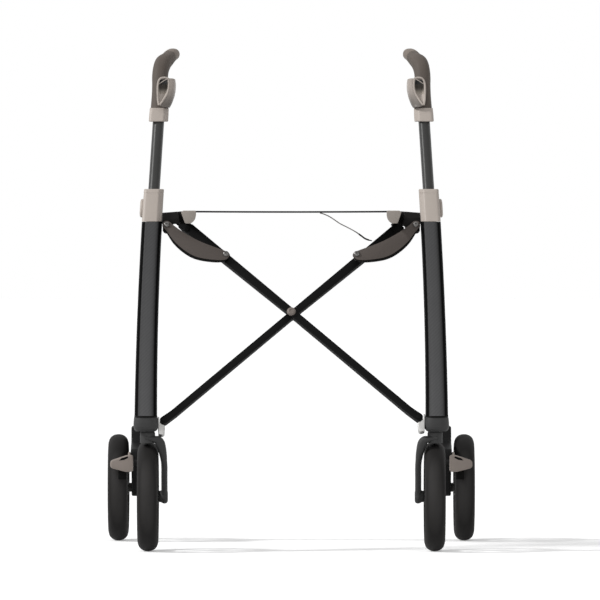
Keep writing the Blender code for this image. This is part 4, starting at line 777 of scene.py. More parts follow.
def side_place(x: float) -> Matrix:
    """A place for an outline in (y, z), whose thickness runs outboard from x."""
    return Matrix(((0, 0, 1, x), (1, 0, 0, 0), (0, 1, 0, 0), (0, 0, 0, 1)))


def front_place(y: float) -> Matrix:
    """A place for an outline in (x, z), whose thickness runs back from y."""
    return Matrix(((1, 0, 0, 0), (0, 0, 1, y), (0, 1, 0, 0), (0, 0, 0, 1)))


def outboard(x: float, y: float, z: float = LAY.wheel_radius) -> Matrix:
    """A place at a point, on a wheel's axle unless a height is given, with Z outboard."""
    return Matrix.Translation((x, y, z)) @ Matrix.Rotation(pi / 2, 4, "Y")


def moulded(z: float, width: float, depth: float) -> Ring:
    """A level ring of a sleeve or collar, flat in front with a chamfered inner corner.

    Args:
        z: its height.
        width: its size along X.
        depth: its size along Y.

    Returns:
        The ring.
    """
    w, d = width / 2, depth / 2
    corners = [(w, -d), (w, d), (-w, d), (-w, -d + 0.012), (-w + 0.008, -d)]
    section = fillet(corners, [0.006, 0.010, 0.010, 0.004, 0.004], 6)
    return level_ring(section, *LAY.post(z), z)


# Sub-assemblies

@dataclass
class Wheel:
    """A wheel: its tyre, its spoked rim and the bolt through its hub."""

    side: Side
    title: str
    x: float
    y: float
    width: float = 0.036
    rim_radius: float = 0.0722
    rim_width: float = 0.025
    spoke_root: float = 0.012
    spokes: int = 5
    hub_end: float = 0.0143

    def tyre(self) -> Mesh:
        """The tyre's mesh, with a shallow groove on each shoulder.

        Returns:
            The mesh.
        """
        r, w = LAY.wheel_radius, self.width / 2
        half = [(self.rim_radius + 0.0004, self.rim_width / 2)]
        half += [(r - depth, w - inward) for depth, inward in (
            (0.0212, 0.0040), (0.0198, 0.0008), (0.0188, 0.0001), (0.0160, 0.0001),
            (0.0154, 0.0006), (0.0148, 0.0003), (0.0119, 0.0010), (0.0085, 0.0022),
            (0.0061, 0.0038), (0.0036, 0.0062), (0.0014, 0.0099), (0.0004, 0.0135),
            (0.0, 0.0160))]
        return spun(both_ways(half), outboard(self.x, self.y), ROUND_STEPS, ring=True)

    def spoke(self) -> Mesh:
        """One spoke along X, wider and thicker at both ends.

        Returns:
            The mesh, round the origin.
        """
        end = self.rim_radius - 0.0095
        rings = []
        for share in (0.0, 0.12, 0.35, 0.65, 0.88, 1.0):
            reach = self.spoke_root + (end - self.spoke_root) * share
            flare = abs(share - 0.5) * 2
            section = oval(0.0092 + 0.0105 * flare ** 5, 0.0080 + 0.0030 * flare ** 3, 3.2, 20)
            rings.append([Vector((reach, a, b)) for a, b in section])
        return skin(rings)

    def rim(self) -> Mesh:
        """The rim's mesh: a channelled ring, tapered spokes and a stepped hub.

        Returns:
            The mesh.
        """
        place = outboard(self.x, self.y)
        ring = [(self.rim_radius - depth, self.rim_width / 2 - inward) for depth, inward in (
            (0.0, 0.0), (0.0012, 0.0), (0.0030, 0.0010), (0.0060, 0.0060), (0.0105, 0.0075),
            (0.0110, 0.0085))]
        hub = [(0.0043, 0.0140), (0.0090, 0.0140), (0.0100, 0.0134), (0.0105, 0.0120),
               (0.0150, 0.0105), (0.0160, 0.0095), (0.0160, -0.0110), (0.0145, -0.0130),
               (0.0130, -0.0175), (0.0043, -0.0175)]
        parts = [spun(both_ways(ring), place, ROUND_STEPS, ring=True),
                 spun(hub, place, ROUND_STEPS // 2, ring=True)]
        for i in range(self.spokes):
            spoke = self.spoke()
            turn = Matrix.Rotation(2 * pi * (i + 0.5) / self.spokes, 4, "Z")
            bmesh.ops.transform(spoke, matrix=place @ turn, verts=spoke.verts)
            parts.append(spoke)
        return merged(*parts)

    def bolt(self) -> Mesh:
        """The bolt's head, with a round socket.

        Returns:
            The mesh.
        """
        return spun([(radius, self.hub_end + rise) for radius, rise in (
            (0.0072, 0.0), (0.0072, 0.0016), (0.0064, 0.0028), (0.0052, 0.0030),
            (0.0034, 0.0030), (0.0034, 0.0010))], outboard(self.x, self.y))

    def build(self) -> None:
        """Add the wheel's pieces."""
        body = self.title + "_wheel"
        fit(self.side, self.title + "_tyre_skin", self.tyre(), RUBBER, body, self.title + "_tyre")
        fit(self.side, self.title + "_spoked_rim", self.rim(), RIM, body, self.title + "_rim")
        fit(self.side, self.title + "_bolt_head", self.bolt(), STEEL,
            "caster" if self.title == "front" else "frame")


@dataclass
class FrontLeg:
    """A front leg with its sleeve, its height button and its caster head."""

    side: Side
    width_base: float = 0.0390
    width_top: float = 0.0354
    depth: float = 0.0540
    squareness: float = 3.2
    leg_steps: int = 30
    sleeve_top: float = 0.6250
    sleeve_width: float = 0.0343
    sleeve_depth: float = 0.0500
    button_z: float = 0.5915
    head_base: float = 0.2080

    def ring(self, z: float, width: float, depth: float) -> Ring:
        """A level ring round the leg's centre."""
        return level_ring(oval(width, depth, self.squareness, 48), *LAY.leg(z), z)

    def leg(self) -> Mesh:
        """The curved carbon leg.

        Returns:
            The mesh.
        """
        rings = []
        for i in range(self.leg_steps + 1):
            share = i / self.leg_steps
            taper = 1 - (1 - share) ** 1.6
            width = self.width_base + (self.width_top - self.width_base) * taper
            z = LAY.leg_base + (LAY.leg_top - LAY.leg_base) * share
            rings.append(self.ring(z, width, self.depth))
        return skin(rings)

    def seam(self) -> Mesh:
        """The thin band between the leg and its head.

        Returns:
            The mesh.
        """
        return skin([self.ring(LAY.leg_base + rise, self.width_base + grow, self.depth + grow)
                     for rise, grow in ((-0.0014, -0.0004), (-0.0010, 0.0006),
                                        (0.0012, 0.0006), (0.0016, -0.0004))])

    def sleeve(self) -> Mesh:
        """The sleeve, with rounded rims and a fine groove under its top.

        Returns:
            The mesh.
        """
        low = LAY.leg_top + LAY.gap
        stations = [(low, 0.0008), (low + 0.0008, 0.0)]
        stations += [(self.sleeve_top - under, shrink) for under, shrink in (
            (0.0080, 0.0), (0.0076, 0.0007), (0.0070, 0.0007), (0.0066, 0.0), (0.0022, 0.0),
            (0.0010, 0.0006), (0.0003, 0.0016), (0.0, 0.0032), (0.0004, 0.0100))]
        return skin([moulded(z, self.sleeve_width - shrink, self.sleeve_depth - shrink)
                     for z, shrink in stations])

    def button(self) -> Mesh:
        """The domed oval button on the sleeve's outer face.

        Returns:
            The mesh.
        """
        x, y = LAY.post(self.button_z)
        place = frame_at((x + self.sleeve_width / 2, y, self.button_z), (1, 0, 0.0564),
                         (0, 0.527, 1))
        levels = [(-0.0008, 1.0), (0.0028, 1.0), (0.0040, 0.94), (0.0047, 0.84), (0.0052, 0.66),
                  (0.0050, 0.50), (0.0046, 0.40)]
        return skin([placed_ring(oval(0.034 * scale, 0.020 * scale, 2.3),
                                 place @ Matrix.Translation((0, 0, height)))
                     for height, scale in levels])

    def head(self) -> Mesh:
        """The dark foot of the leg, with the caster's bearing.

        Returns:
            The mesh.
        """
        x, y = LAY.front_x + 0.003, (LAY.swivel_y + LAY.leg_y) / 2
        base, top = self.head_base, LAY.leg_base - LAY.gap
        sizes = [(base, 0.80), (base + 0.0012, 0.87), (base + 0.004, 0.96), (base + 0.008, 1.0),
                 (base + 0.014, 1.0), (top - 0.005, 0.975), (top - 0.0012, 0.945), (top, 0.93)]
        return skin([level_ring(oval(0.0425 * k, 0.052 * k, 3.0, 48), x, y, z)
                     for z, k in sizes])

    def build(self) -> None:
        """Add the leg's pieces."""
        fit(self.side, "carbon_front_leg", self.leg(), CARBON, "frame", "front_leg")
        fit(self.side, "moulded_sleeve", self.sleeve(), BEIGE, "frame", "leg_sleeve")
        fit(self.side, "dark_caster_head", self.head(), NYLON, "frame", "caster_head")
        fit(self.side, "foot_seam", self.seam(), CASTING, "frame")
        fit(self.side, "oval_button", self.button(), BEIGE, "button", "height_button")


@dataclass
class Caster:
    """The one-sided fork that the front wheel turns in."""

    side: Side
    arm_offset: float = 0.0285
    thick: float = 0.0108
    width: float = 0.028
    taper: float = 0.28
    swell: float = 0.58
    swell_at: float = 0.38
    swell_reach: float = 0.26

    def arm_section(self, share: float) -> list[Point2]:
        """The arm's section at a share of its way, thickest where it bends down.

        Args:
            share: the share, 0 at the crown.

        Returns:
            The section.
        """
        bend = max(0.0, 1 - abs(share - self.swell_at) / self.swell_reach)
        return oval(self.width * (1 - self.taper * share), self.thick * (1 + self.swell * bend),
                    2.8, 28)

    def fork(self) -> Mesh:
        """The fork's mesh: its crown, its arched arm and its boss.

        Returns:
            The mesh.
        """
        x, y = LAY.front_x, LAY.swivel_y
        arm, axle = x - self.arm_offset, LAY.wheel_radius
        path = smooth([(x + 0.004, y, 0.1970), (x - 0.011, y, 0.1940),
                       (x - 0.0195, y + 0.0005, 0.1905), (arm + 0.0032, y + 0.002, 0.1748),
                       (arm, y + 0.008, 0.1515), (arm, -LAY.axle_y - 0.013, axle + 0.028),
                       (arm, -LAY.axle_y - 0.001, axle + 0.001)], 6)
        crown = spun([(0.0126, 0.1876), (0.0130, 0.1880), (0.0130, 0.2050), (0.0122, 0.2062),
                      (0.0122, 0.2077)], Matrix.Translation((x, y, 0.0)), 40)
        inner = arm - self.thick / 2 - 0.0004 - x
        profile = [(radius, inner + rise) for radius, rise in (
            (0.0050, 0.0016), (0.0062, 0.0), (0.0082, 0.0), (0.0102, 0.0007), (0.0117, 0.0022),
            (0.0125, 0.0046), (0.0125, 0.0070), (0.0118, 0.0092), (0.0104, 0.0114))]
        boss = spun(profile + [(0.0096, -0.0190), (0.0090, -0.0178)], outboard(x, -LAY.axle_y), 40)
        return merged(skin(swept(path, self.arm_section, (0, 1, 0))), crown, boss)

    def build(self) -> None:
        """Add the fork."""
        fit(self.side, "arched_fork", self.fork(), NYLON, "caster", "caster_fork")


def inset(wall: Sequence[Point3], z: float) -> float:
    """The x of a wall at a height.

    Args:
        wall: its points, from the top down.
        z: the height.

    Returns:
        The x there.
    """
    for upper, lower in zip(wall, wall[1:]):
        if z >= lower[2]:
            return lower[0] + (upper[0] - lower[0]) * (z - lower[2]) / (upper[2] - lower[2])
    return wall[-1][0]


@dataclass
class Handle:
    """The telescopic post with its collar, its grip and its brake lever."""

    side: Side
    collar_base: float = 0.7430
    collar_top: float = 0.7672
    grip_end: Point3 = (0.2096, 0.1240, 0.8636)
    grip_width: float = 0.0300
    end_radius: float = 0.0124
    end_flat: float = 0.84
    end_ring: int = 33
    pivot_z: float = 0.778
    loop_radius: float = 0.0017
    loop_steps: int = 5
    loop_climb: int = 24
    wing_thick: float = 0.0016
    web_thick: float = 0.0008
    wall_steps: int = 6

    def post(self) -> Mesh:
        """The oval post."""
        return skin([level_ring(oval(0.0200, 0.0340, 2.6, 48), *LAY.post(z), z)
                     for z in (0.500, 0.620, 0.700, 0.781)])

    def collar(self) -> Mesh:
        """The moulded collar under the grip.

        Returns:
            The mesh.
        """
        low, high = self.collar_base, self.collar_top
        stations = [(low, 0.0030), (low + 0.0004, 0.0014), (low + 0.0014, 0.0), (low + 0.012, 0.0),
                    (high - 0.0012, 0.0008), (high - 0.0003, 0.0016), (high, 0.0030)]
        return skin([moulded(z, 0.0336 - shrink, 0.0410 - shrink) for z, shrink in stations])

    def grip_rings(self) -> list[Ring]:
        """The swept grip's rings, from the collar to its end.

        Returns:
            The rings, in order.
        """
        end = 2 * self.end_radius
        stations = smooth([(0.2303, -0.0052, self.collar_top + LAY.gap, 0.0318, 0.0360),
                           (0.2296, 0.0058, 0.7875, 0.0302, 0.0352),
                           (0.2297, 0.0165, 0.8060, 0.0290, 0.0335),
                           (0.2304, 0.0270, 0.8210, 0.0280, 0.0320),
                           (0.2290, 0.0380, 0.8350, 0.0282, 0.0308),
                           (0.2253, 0.0530, 0.8462, 0.0284, 0.0288),
                           (0.2186, 0.0720, 0.8532, 0.0246, 0.0252),
                           (0.2134, 0.0960, 0.8600, 0.0244, 0.0222),
                           (*self.grip_end, end, end * self.end_flat)], 5)
        path = [Vector(station[:3]) for station in stations]
        last = len(path) - 1
        rings = []
        for i, (point, station) in enumerate(zip(path, stations)):
            along = path[min(i + 1, last)] - path[max(i - 1, 0)]
            tangent = along.normalized().lerp(Vector((0, 0, 1)), max(0.0, 1 - i / 10))
            rings.append(placed_ring(oval(*station[3:], 2.3, 36), frame_at(point, tangent)))
        return rings

    def grip_end_cap(self) -> Mesh:
        """The lighter domed end of the grip.

        Returns:
            The mesh.
        """
        along = Vector((-0.14, 0.98, 0.10)).normalized()
        rings = self.grip_rings()[self.end_ring:-1]
        for reach, shrink in ((0.0, 0.99), (0.22, 0.975), (0.42, 0.92), (0.60, 0.82),
                              (0.75, 0.68), (0.85, 0.50), (0.90, 0.30)):
            wide = 2 * self.end_radius * shrink
            place = frame_at(Vector(self.grip_end) + along * self.end_radius * reach, along)
            rings.append(placed_ring(oval(wide, wide * self.end_flat, 2.3, 36), place))
        return skin(rings)

    def loop(self) -> tuple[Ring, Ring]:
        """The lever's front rim: its outer side and arch, and its inner side down to its foot.

        Returns:
            The points of both sides.
        """
        outer = smooth([(0.2317, -0.0312, 0.7718), (0.2333, -0.0280, 0.7809),
                        (0.2339, -0.0240, 0.7949), (0.2336, -0.0210, 0.8072),
                        (0.2320, -0.0200, 0.8144), (0.2287, -0.0196, 0.8187),
                        (0.2243, -0.0195, 0.8200), (0.2196, -0.0195, 0.8199),
                        (0.2154, -0.0195, 0.8186)], self.loop_steps)
        inner = smooth([(0.2154, -0.0195, 0.8186), (0.2144, -0.0200, 0.8100),
                        (0.2149, -0.0210, 0.8008), (0.2175, -0.0230, 0.7916),
                        (0.2222, -0.0260, 0.7834), (0.2266, -0.0294, 0.7767),
                        (0.2303, -0.0310, 0.7722)], self.loop_steps)
        return outer, inner

    def wing(self) -> Mesh:
        """The lever's wall, from the rim round the grip's inner side and back to its tip.

        Returns:
            The mesh.
        """
        columns = [
            self.loop()[1][::self.loop_steps],
            [(0.2098, -0.0188, 0.8188), (0.2092, -0.0192, 0.8096), (0.2097, -0.0200, 0.7998),
             (0.2118, -0.0220, 0.7902), (0.2152, -0.0248, 0.7815), (0.2196, -0.0286, 0.7745),
             (0.2238, -0.0314, 0.7700)],
            [(0.2050, -0.0130, 0.8180), (0.2048, -0.0130, 0.8086), (0.2054, -0.0135, 0.7986),
             (0.2070, -0.0150, 0.7888), (0.2095, -0.0176, 0.7800), (0.2124, -0.0218, 0.7731),
             (0.2150, -0.0268, 0.7692)],
            [(0.2033, 0.0000, 0.8166), (0.2034, 0.0000, 0.8080), (0.2039, 0.0000, 0.7992),
             (0.2050, -0.0008, 0.7905), (0.2069, -0.0024, 0.7822), (0.2096, -0.0056, 0.7752),
             (0.2124, -0.0090, 0.7700)]]
        wall, last = columns[-1], self.wall_steps
        for y, top, low in ((0.028, 0.8146, 0.7860), (0.062, 0.8122, 0.7950),
                            (0.084, 0.8090, 0.8000), (0.092, 0.8052, 0.8022)):
            heights = [top + (low - top) * i / last for i in range(last + 1)]
            columns.append([(inset(wall, z), y, z) for z in heights])
        rows = [smooth(row, 5) for row in zip(*columns)]
        return shell([smooth(column, 4) for column in zip(*rows)], self.wing_thick)

    def lever(self) -> Mesh:
        """The scooped finger lever: a looped rim, the web in its foot and the rib in its arch.

        Returns:
            The mesh.
        """
        outer, inner = self.loop()
        rib = tube([(0.2325, -0.0200, 0.8084), (0.2240, -0.0206, 0.8140),
                    (0.2152, -0.0208, 0.8190)], 0.0007, 10)
        return merged(tube(outer + inner[1:], self.loop_radius, 16),
                      self.web(0.7735, 0.7915, 0.0010, 0.0048), rib)

    def web(self, low: float, high: float, near: float, far: float) -> Mesh:
        """A hollow wall inside the loop.

        Args:
            low: the height of its lower edge.
            high: the height of its upper edge.
            near: how far back its lower edge lies.
            far: how far back its upper edge lies.

        Returns:
            The mesh.
        """
        outer, inner = self.loop()
        rising = outer[:self.loop_climb]      # up to the arch
        last = self.wall_steps
        rows = []
        for i in range(last + 1):
            z = low + (high - low) * i / last
            a, b = (min(edge, key=lambda p: abs(p.z - z)) for edge in (rising, inner[::-1]))
            sink = near + (far - near) * i / last
            rows.append([(a.x + (b.x - a.x) * k / last, a.y + (b.y - a.y) * k / last
                          + sink * min(1.0, 3 * min(k, last - k) / last), z)
                         for k in range(last + 1)])
        return shell(rows, self.web_thick)

    def stud(self) -> Mesh:
        """The stud that the lever turns on.

        Returns:
            The mesh.
        """
        inner = LAY.post(self.pivot_z)[0] - self.grip_width / 2
        return spun([(0.0025, inner + 0.003), (0.0025, inner - 0.0052), (0.0019, inner - 0.0058),
                     (0.0, inner - 0.0060)], outboard(0, -0.002, self.pivot_z))

    def build(self) -> None:
        """Add the handle's pieces."""
        grip = skin(self.grip_rings()[:self.end_ring + 1])
        pocket = self.web(0.7915, 0.8085, 0.0048, 0.0070)
        # A black sheet at the top of the loop: painted shadow in the gap between the lever and the
        # grip.
        gap_shadow_sheet = self.web(0.8085, 0.8165, 0.0070, 0.0070)
        fit(self.side, "oval_post", self.post(), POST, "post", "handle_post")
        fit(self.side, "moulded_collar", self.collar(), BEIGE, "post", "post_collar")
        fit(self.side, "swept_grip", grip, GRIP, "post", "hand_grip")
        fit(self.side, "grip_end_cap", self.grip_end_cap(), GRIP_END, "post")
        fit(self.side, "lever_stud", self.stud(), BEIGE, "post")
        fit(self.side, "scooped_lever", self.lever(), BEIGE, "lever", "brake_lever")
        fit(self.side, "lever_wing", self.wing(), SHADED_WING, "lever")
        fit(self.side, "lever_pocket", pocket, POCKET, "lever")
        fit(self.side, "lever_recess", gap_shadow_sheet, NYLON, "lever")


def rail_cradle(root: float, y: float, depth: float, foot: float = 0.0) -> Mesh:
    """A block that reaches from a leg to the seat rail, with a lip under it.

    Args:
        root: where it meets the leg.
        y: its front.
        depth: how far back it runs.
        foot: how far its root reaches down below the lip's top.

    Returns:
        The mesh, for the right side.
    """
    wall, lip, shelf = LAY.rail_x + 0.0115, LAY.rail_x - 0.00275, LAY.shelf
    step = root - 0.011 if foot else root
    corners = [(wall + 0.0015, LAY.seat_top - 0.0012), (wall - 0.0045, shelf), (lip, shelf),
               (lip, shelf - 0.0044), (wall + 0.0070, shelf - 0.0044),
               (wall + 0.0112, shelf - 0.0008), (step, shelf - 0.0008)]
    if foot:
        corners += [(step, shelf - foot), (root, shelf - foot)]
    corners.append((root, LAY.seat_top - 0.005))
    radii = [0.002, 0.0, 0.0015, 0.0015] + [0.0] * (len(corners) - 4)
    return slab(fillet(corners, radii, 3), 0.0, depth, 0.0008, front_place(y), 2)


def seat_casting(deep: bool) -> Mesh:
    """The black casting on the front leg: the seat rail's arm, its toe and the link's lug.

    Args:
        deep: whether its underside reaches down to the end of the rear bar.

    Returns:
        The mesh, for the right side.
    """
    root = 0.2235
    under = ([(0.1975, 0.5590), (0.1990, 0.5560), (0.2085, 0.5540)] if deep
             else [(0.2055, LAY.shelf - 0.0004), (0.2065, 0.5600), (0.2075, 0.5560)])
    outline = fillet([(0.1975, LAY.seat_top - 0.0016), (0.1935, LAY.shelf), *under,
                      (0.2140, 0.5500), (root, 0.5512), (root, LAY.seat_top - 0.0050)],
                     [0.002, 0.0015, 0.001, 0.001, 0.006, 0.004, 0.001, 0.003], 4)
    arm = slab(outline, 0.0, 0.056, 0.0014, front_place(-0.116))
    cut = bmesh.ops.bisect_plane(
        arm, geom=arm.verts[:] + arm.edges[:] + arm.faces[:], clear_outer=True,
        plane_co=LAY.plane(forward=0.0139).translation, plane_no=LAY.plane().col[2].xyz)
    rim = [g for g in cut["geom_cut"] if isinstance(g, bmesh.types.BMEdge)]
    bmesh.ops.holes_fill(arm, edges=rim)
    lug = spun([(0.0070, -0.0040), (0.0070, 0.0133), (0.0064, 0.0142)],
               LAY.plane(LAY.in_plane(*LAY.link_pivot)), 32)
    return merged(arm, lug, rail_cradle(root - 0.012, -0.0690, 0.0086))


@dataclass
class RearLeg:
    """The arched rear leg with its housing, spacer, brake, cradle and seat casting."""

    side: Side
    foot_z: float = 0.2043
    housing_x: float = 0.2842
    housing_thick: float = 0.021
    arm_front: float = 0.117

    def leg(self) -> Mesh:
        """The arched carbon leg.

        Returns:
            The mesh.
        """
        lean = Vector((0, cos(LAY.lean), -sin(LAY.lean)))
        z = 0.544
        x, y = LAY.leg(z)
        start = Vector((x, y, z)) + lean * (0.027 * cos(LAY.lean) + 0.0016)
        foot = self.housing_x - 0.0050 - 0.0135 * 0.9
        path = smooth([start, start + lean * 0.016 + Vector((0, 0, 0.002)),
                       (x + 0.001, -0.020, 0.548), (x + 0.003, 0.034, 0.543),
                       (x + 0.006, 0.086, 0.518), (x + 0.011, 0.132, 0.470),
                       (x + 0.016, 0.166, 0.402), (foot - 0.004, 0.191, 0.318),
                       (foot - 0.001, 0.209, 0.250), (foot, 0.219, self.foot_z)], 6)
        inner_ways = [after - before for before, after in zip(path, path[2:])]
        ways = [lean, *inner_ways, Vector((0, 0, -1))]
        rings = []
        for i, (point, way) in enumerate(zip(path, ways)):
            share = i / (len(path) - 1)
            section = oval(0.027 * (1 - 0.1 * share), 0.040 * (1 - 0.12 * share), 2.8, 36)
            rings.append(placed_ring(section, frame_at(point, way)))
        return skin(rings)

    def housing(self) -> Mesh:
        """The moulded foot that holds the axle and the brake's stud.

        Returns:
            The mesh.
        """
        top, mid, half, toe = self.foot_z - LAY.gap, 0.219, 0.023, 0.0155
        y, axle = LAY.axle_y, LAY.wheel_radius
        corners = [(mid - half, top), (mid + half, top), (y + toe + 0.002, axle + 0.010),
                   (y + toe, axle - toe), (y - toe, axle - toe), (y - toe - 0.004, axle + 0.010),
                   (mid - half - 0.006, axle + 0.038), (0.144, 0.144), (0.130, 0.146),
                   (0.130, 0.165), (0.144, 0.168), (mid - half - 0.003, 0.178)]
        radii = [0.005, 0.006, 0.0, 0.013, 0.013, 0.0, 0.010, 0.0, 0.006, 0.006, 0.0, 0.010]
        body = slab(fillet(corners, radii, 6), 0.0, self.housing_thick, 0.0028,
                    side_place(self.housing_x - self.housing_thick), 4)
        stud = spun([(0.003, 0.0), (0.003, 0.0040), (0.0022, 0.0046)],
                    outboard(self.housing_x, 0.138, 0.156))
        return merged(body, stud)

    def spacer(self) -> Mesh:
        """The spacer between the housing and the wheel's hub."""
        return spun([(0.0080, 0.0), (0.0080, 0.0053)],
                    outboard(self.housing_x + LAY.gap, LAY.axle_y), 32)

    def brake_arm(self) -> Mesh:
        """The beige arm across the front of the tyre, with its ear.

        Returns:
            The mesh.
        """
        root, tip, low, high = self.housing_x - 0.0045, 0.3201, 0.1255, 0.155
        outline = fillet([(root, low), (root + 0.013, low), (tip, low + 0.0070),
                          (tip, low + 0.0200), (root + 0.012, high), (root, high + 0.001)],
                         [0.004, 0.006, 0.0064, 0.0064, 0.010, 0.004], 6)
        arm = slab(outline, 0.0, 0.010, 0.0026, front_place(self.arm_front), 4)
        inner, outer = self.housing_x + LAY.gap, 0.2888
        ear = fillet([(0.121, 0.146), (0.144, 0.149), (0.144, 0.162), (0.121, 0.154)],
                     [0.0, 0.005, 0.005, 0.0], 6)
        return merged(arm, slab(ear, 0.0, outer - inner, 0.0008, side_place(inner), 2))

    def arm_slot(self) -> Mesh:
        """A thin dark sheet on the brake arm's face: painted shade where its slot is.

        Returns:
            The mesh.
        """
        outline = [(0.3046, 0.1457), (0.3000, 0.1500), (0.2892, 0.1532), (0.2882, 0.1504),
                   (0.2955, 0.1468)]
        return slab(outline, -0.0002, 0.0004, 0.0001, front_place(self.arm_front), 1)

    def shoe(self) -> Mesh:
        """The dark pad behind the arm, hollowed to the tyre.

        Returns:
            The mesh.
        """
        front, reach = 0.1273, 0.0978
        face = [(LAY.axle_y - (reach ** 2 - (z - LAY.wheel_radius) ** 2) ** 0.5, z)
                for z in (0.112, 0.1175, 0.123, 0.1285, 0.134)]
        return slab([(front, 0.112), *face, (front, 0.134)], 0.0, 0.015, 0.0010,
                    side_place(0.2911), 2)

    def build(self) -> None:
        """Add the rear leg's pieces."""
        side = self.side
        cradle = rail_cradle(0.2440, 0.040, 0.030, 0.018)
        casting = seat_casting(deep=side is Side.RIGHT)
        fit(side, "carbon_rear_leg", self.leg(), CARBON, "frame", "rear_leg")
        fit(side, "rear_cradle", cradle, NYLON, "frame")
        fit(side, "seat_casting", casting, BRACKET, "frame", "seat_bracket")
        fit(side, "dark_rear_housing", self.housing(), HOUSING, "frame", "rear_housing")
        fit(side, "axle_spacer", self.spacer(), DARK_STEEL, "frame", "rear_axle")
        fit(side, "tapered_brake_arm", self.brake_arm(), SHADED_ARM_BEIGE, "brake", "brake_arm")
        fit(side, "arm_slot", self.arm_slot(), CASTING, "brake")
        fit(side, "brake_pad", self.shoe(), CASTING, "brake", "brake_shoe")


@dataclass
class CrossFrame:
    """The two crossing bars with their middle pivot, the link plates and the foot brackets."""

    bar_upper: float = 0.0046
    bar_lower: float = 0.0081
    bar_depth: float = 0.0122
    spacing: float = 0.0008
    low_eye: float = 0.0069
    taper: float = 0.022
    link_thick: float = 0.004
    link_gap: float = 0.0023
    link_reach: float = 0.154

    def face(self, side: Side) -> float:
        """How far forward the front face of the bar lies whose top end is on a side."""
        return self.spacing / 2 + self.bar_depth if side is Side.LEFT else -self.spacing / 2

    @staticmethod
    def crossing() -> Point2:
        """How high the bars cross in the folding plane, and the angle at which they rise."""
        rise = LAY.in_plane(0.0, LAY.cross_z)[1]
        return rise, atan2(rise, LAY.low_pivot[0])

    def bar(self, extra: float) -> list[Point2]:
        """The outline of the bar whose top end is on the right, in the folding plane.

        Args:
            extra: how much higher its cut top end reaches.

        Returns:
            The outline's points.
        """
        start = -LAY.low_pivot[0]
        x, y = LAY.in_plane(*LAY.top_pivot)
        slope = self.crossing()[1]
        c, s = cos(slope), sin(slope)
        upper, lower = self.bar_upper, -self.bar_lower

        def at(along: float, across: float) -> Point2:
            """A point along the bar and across it."""
            return start + c * along - s * across, s * along + c * across

        tilt = degrees(slope)
        eye = arc((start, 0.0), self.low_eye, 90 + tilt, 270 + tilt, 16)
        roof = y + 0.0090 + extra
        end = fillet([at(0.3, lower), (x - 0.022, y - 0.0250), (x + 0.0033, y - 0.0048),
                      (x + 0.0150, roof - extra), (x + 0.0150 - extra, roof),
                      (at((roof - c * upper) / s, upper)[0], roof), at(0.3, upper)],
                     [0.0, 0.010, 0.006, 0.0010, 0.0, 0.0015, 0.0], 4)
        return [*eye, at(self.taper, lower), *end, at(self.taper, upper)]

    def link_pivots(self) -> tuple[Vector, Vector]:
        """The right link plate's pivots in the folding plane: on the frame and on the bar.

        Returns:
            The two points.
        """
        rise, slope = self.crossing()
        bar = Vector((0.0, rise)) + Vector((cos(slope), sin(slope))) * self.link_reach
        return Vector(LAY.in_plane(*LAY.link_pivot)), bar

    def link_place(self) -> Matrix:
        """Where the right link plate lies: X from its frame pivot to its bar pivot.

        Returns:
            The place.
        """
        frame, bar = self.link_pivots()
        way = bar - frame
        turn = Matrix.Rotation(atan2(way.y, way.x), 4, "Z")
        return LAY.plane(frame) @ turn @ Matrix.Diagonal((1, -1, 1, 1))

    def link_outline(self, shrink: float, belly: float) -> list[Point2]:
        """The leaf-shaped outline of a link plate.

        Args:
            shrink: how far it stays inside the leaf all round.
            belly: 1 for the whole leaf, and 0 for one that is slimmer along its lower edge.

        Returns:
            The outline's points.
        """
        frame, bar = self.link_pivots()
        length = (bar - frame).length
        tip = 0.0074
        shape = [(-0.0076, 0.001), (-0.0054, 0.0054), (0.0005, 0.0074), (0.012, 0.0046),
                 (0.036, 0.0010), (0.070, 0.0002), (length - 0.004, 0.0048),
                 (length + tip * 0.7, 0.0038), (length + tip, -0.0016),
                 (length + tip * 0.55, -0.0104 - 0.0024 * belly),
                 (length - 0.012, -0.0196 - 0.0036 * belly),
                 (length * 0.66, -0.0290 - 0.0036 * belly),
                 (length * 0.46, -0.0290 - 0.0036 * belly),
                 (length * 0.24, -0.0222 - 0.0032 * belly), (0.006, -0.0112 - 0.0012 * belly),
                 (-0.0048, -0.0060)]
        middle = Vector((length / 2, -0.008))
        inside = [Vector(p) + (middle - Vector(p)).normalized() * shrink for p in shape]
        return [(p.x, p.y) for p in smooth(inside, 5, closed=True)]

    def build_links(self, side: Side) -> None:
        """Add one side's link plate, its screws, and the bar's pin behind it.

        Args:
            side: the side.
        """
        layer = self.face(Side.LEFT) + self.link_gap
        over = layer + self.link_thick
        step = over - 0.0012
        place = self.link_place()
        back = slab(self.link_outline(0.0, 1.0), layer, step, 0.0005, place, 2)
        front = slab(self.link_outline(0.0003, 0.0), step - 0.0002, over, 0.0005, place, 2)
        fit(side, "leaf_link", back, CASTING, "link", "link_plate")
        fit(side, "leaf_face", front, TAUPE, "link")
        frame, bar = self.link_pivots()
        screw, boss = (spun([(0.0052, -0.0006), (0.0052, 0.0008), (0.0046, 0.0018),
                             (0.0034, 0.0026), (0.0024, 0.0029), (0.0020, 0.0029),
                             (0.0020, 0.0014)], LAY.plane(pivot, over + LAY.gap))
                       for pivot in (frame, bar))
        fit(side, "frame_screw", screw, SCREW, "frame", "link_screw")
        fit(side, "slot_boss", boss, SCREW, "link")
        low, high = self.face(side) + LAY.gap, layer - LAY.gap
        pin = spun([(0.0050, low), (0.0050, low + 0.0010), (0.0026, low + 0.0010),
                    (0.0026, high)], LAY.plane(bar))
        fit(side, "bar_pin", pin, DARK_STEEL, "front_bar" if side is Side.LEFT else "rear_bar",
            "link_pin")

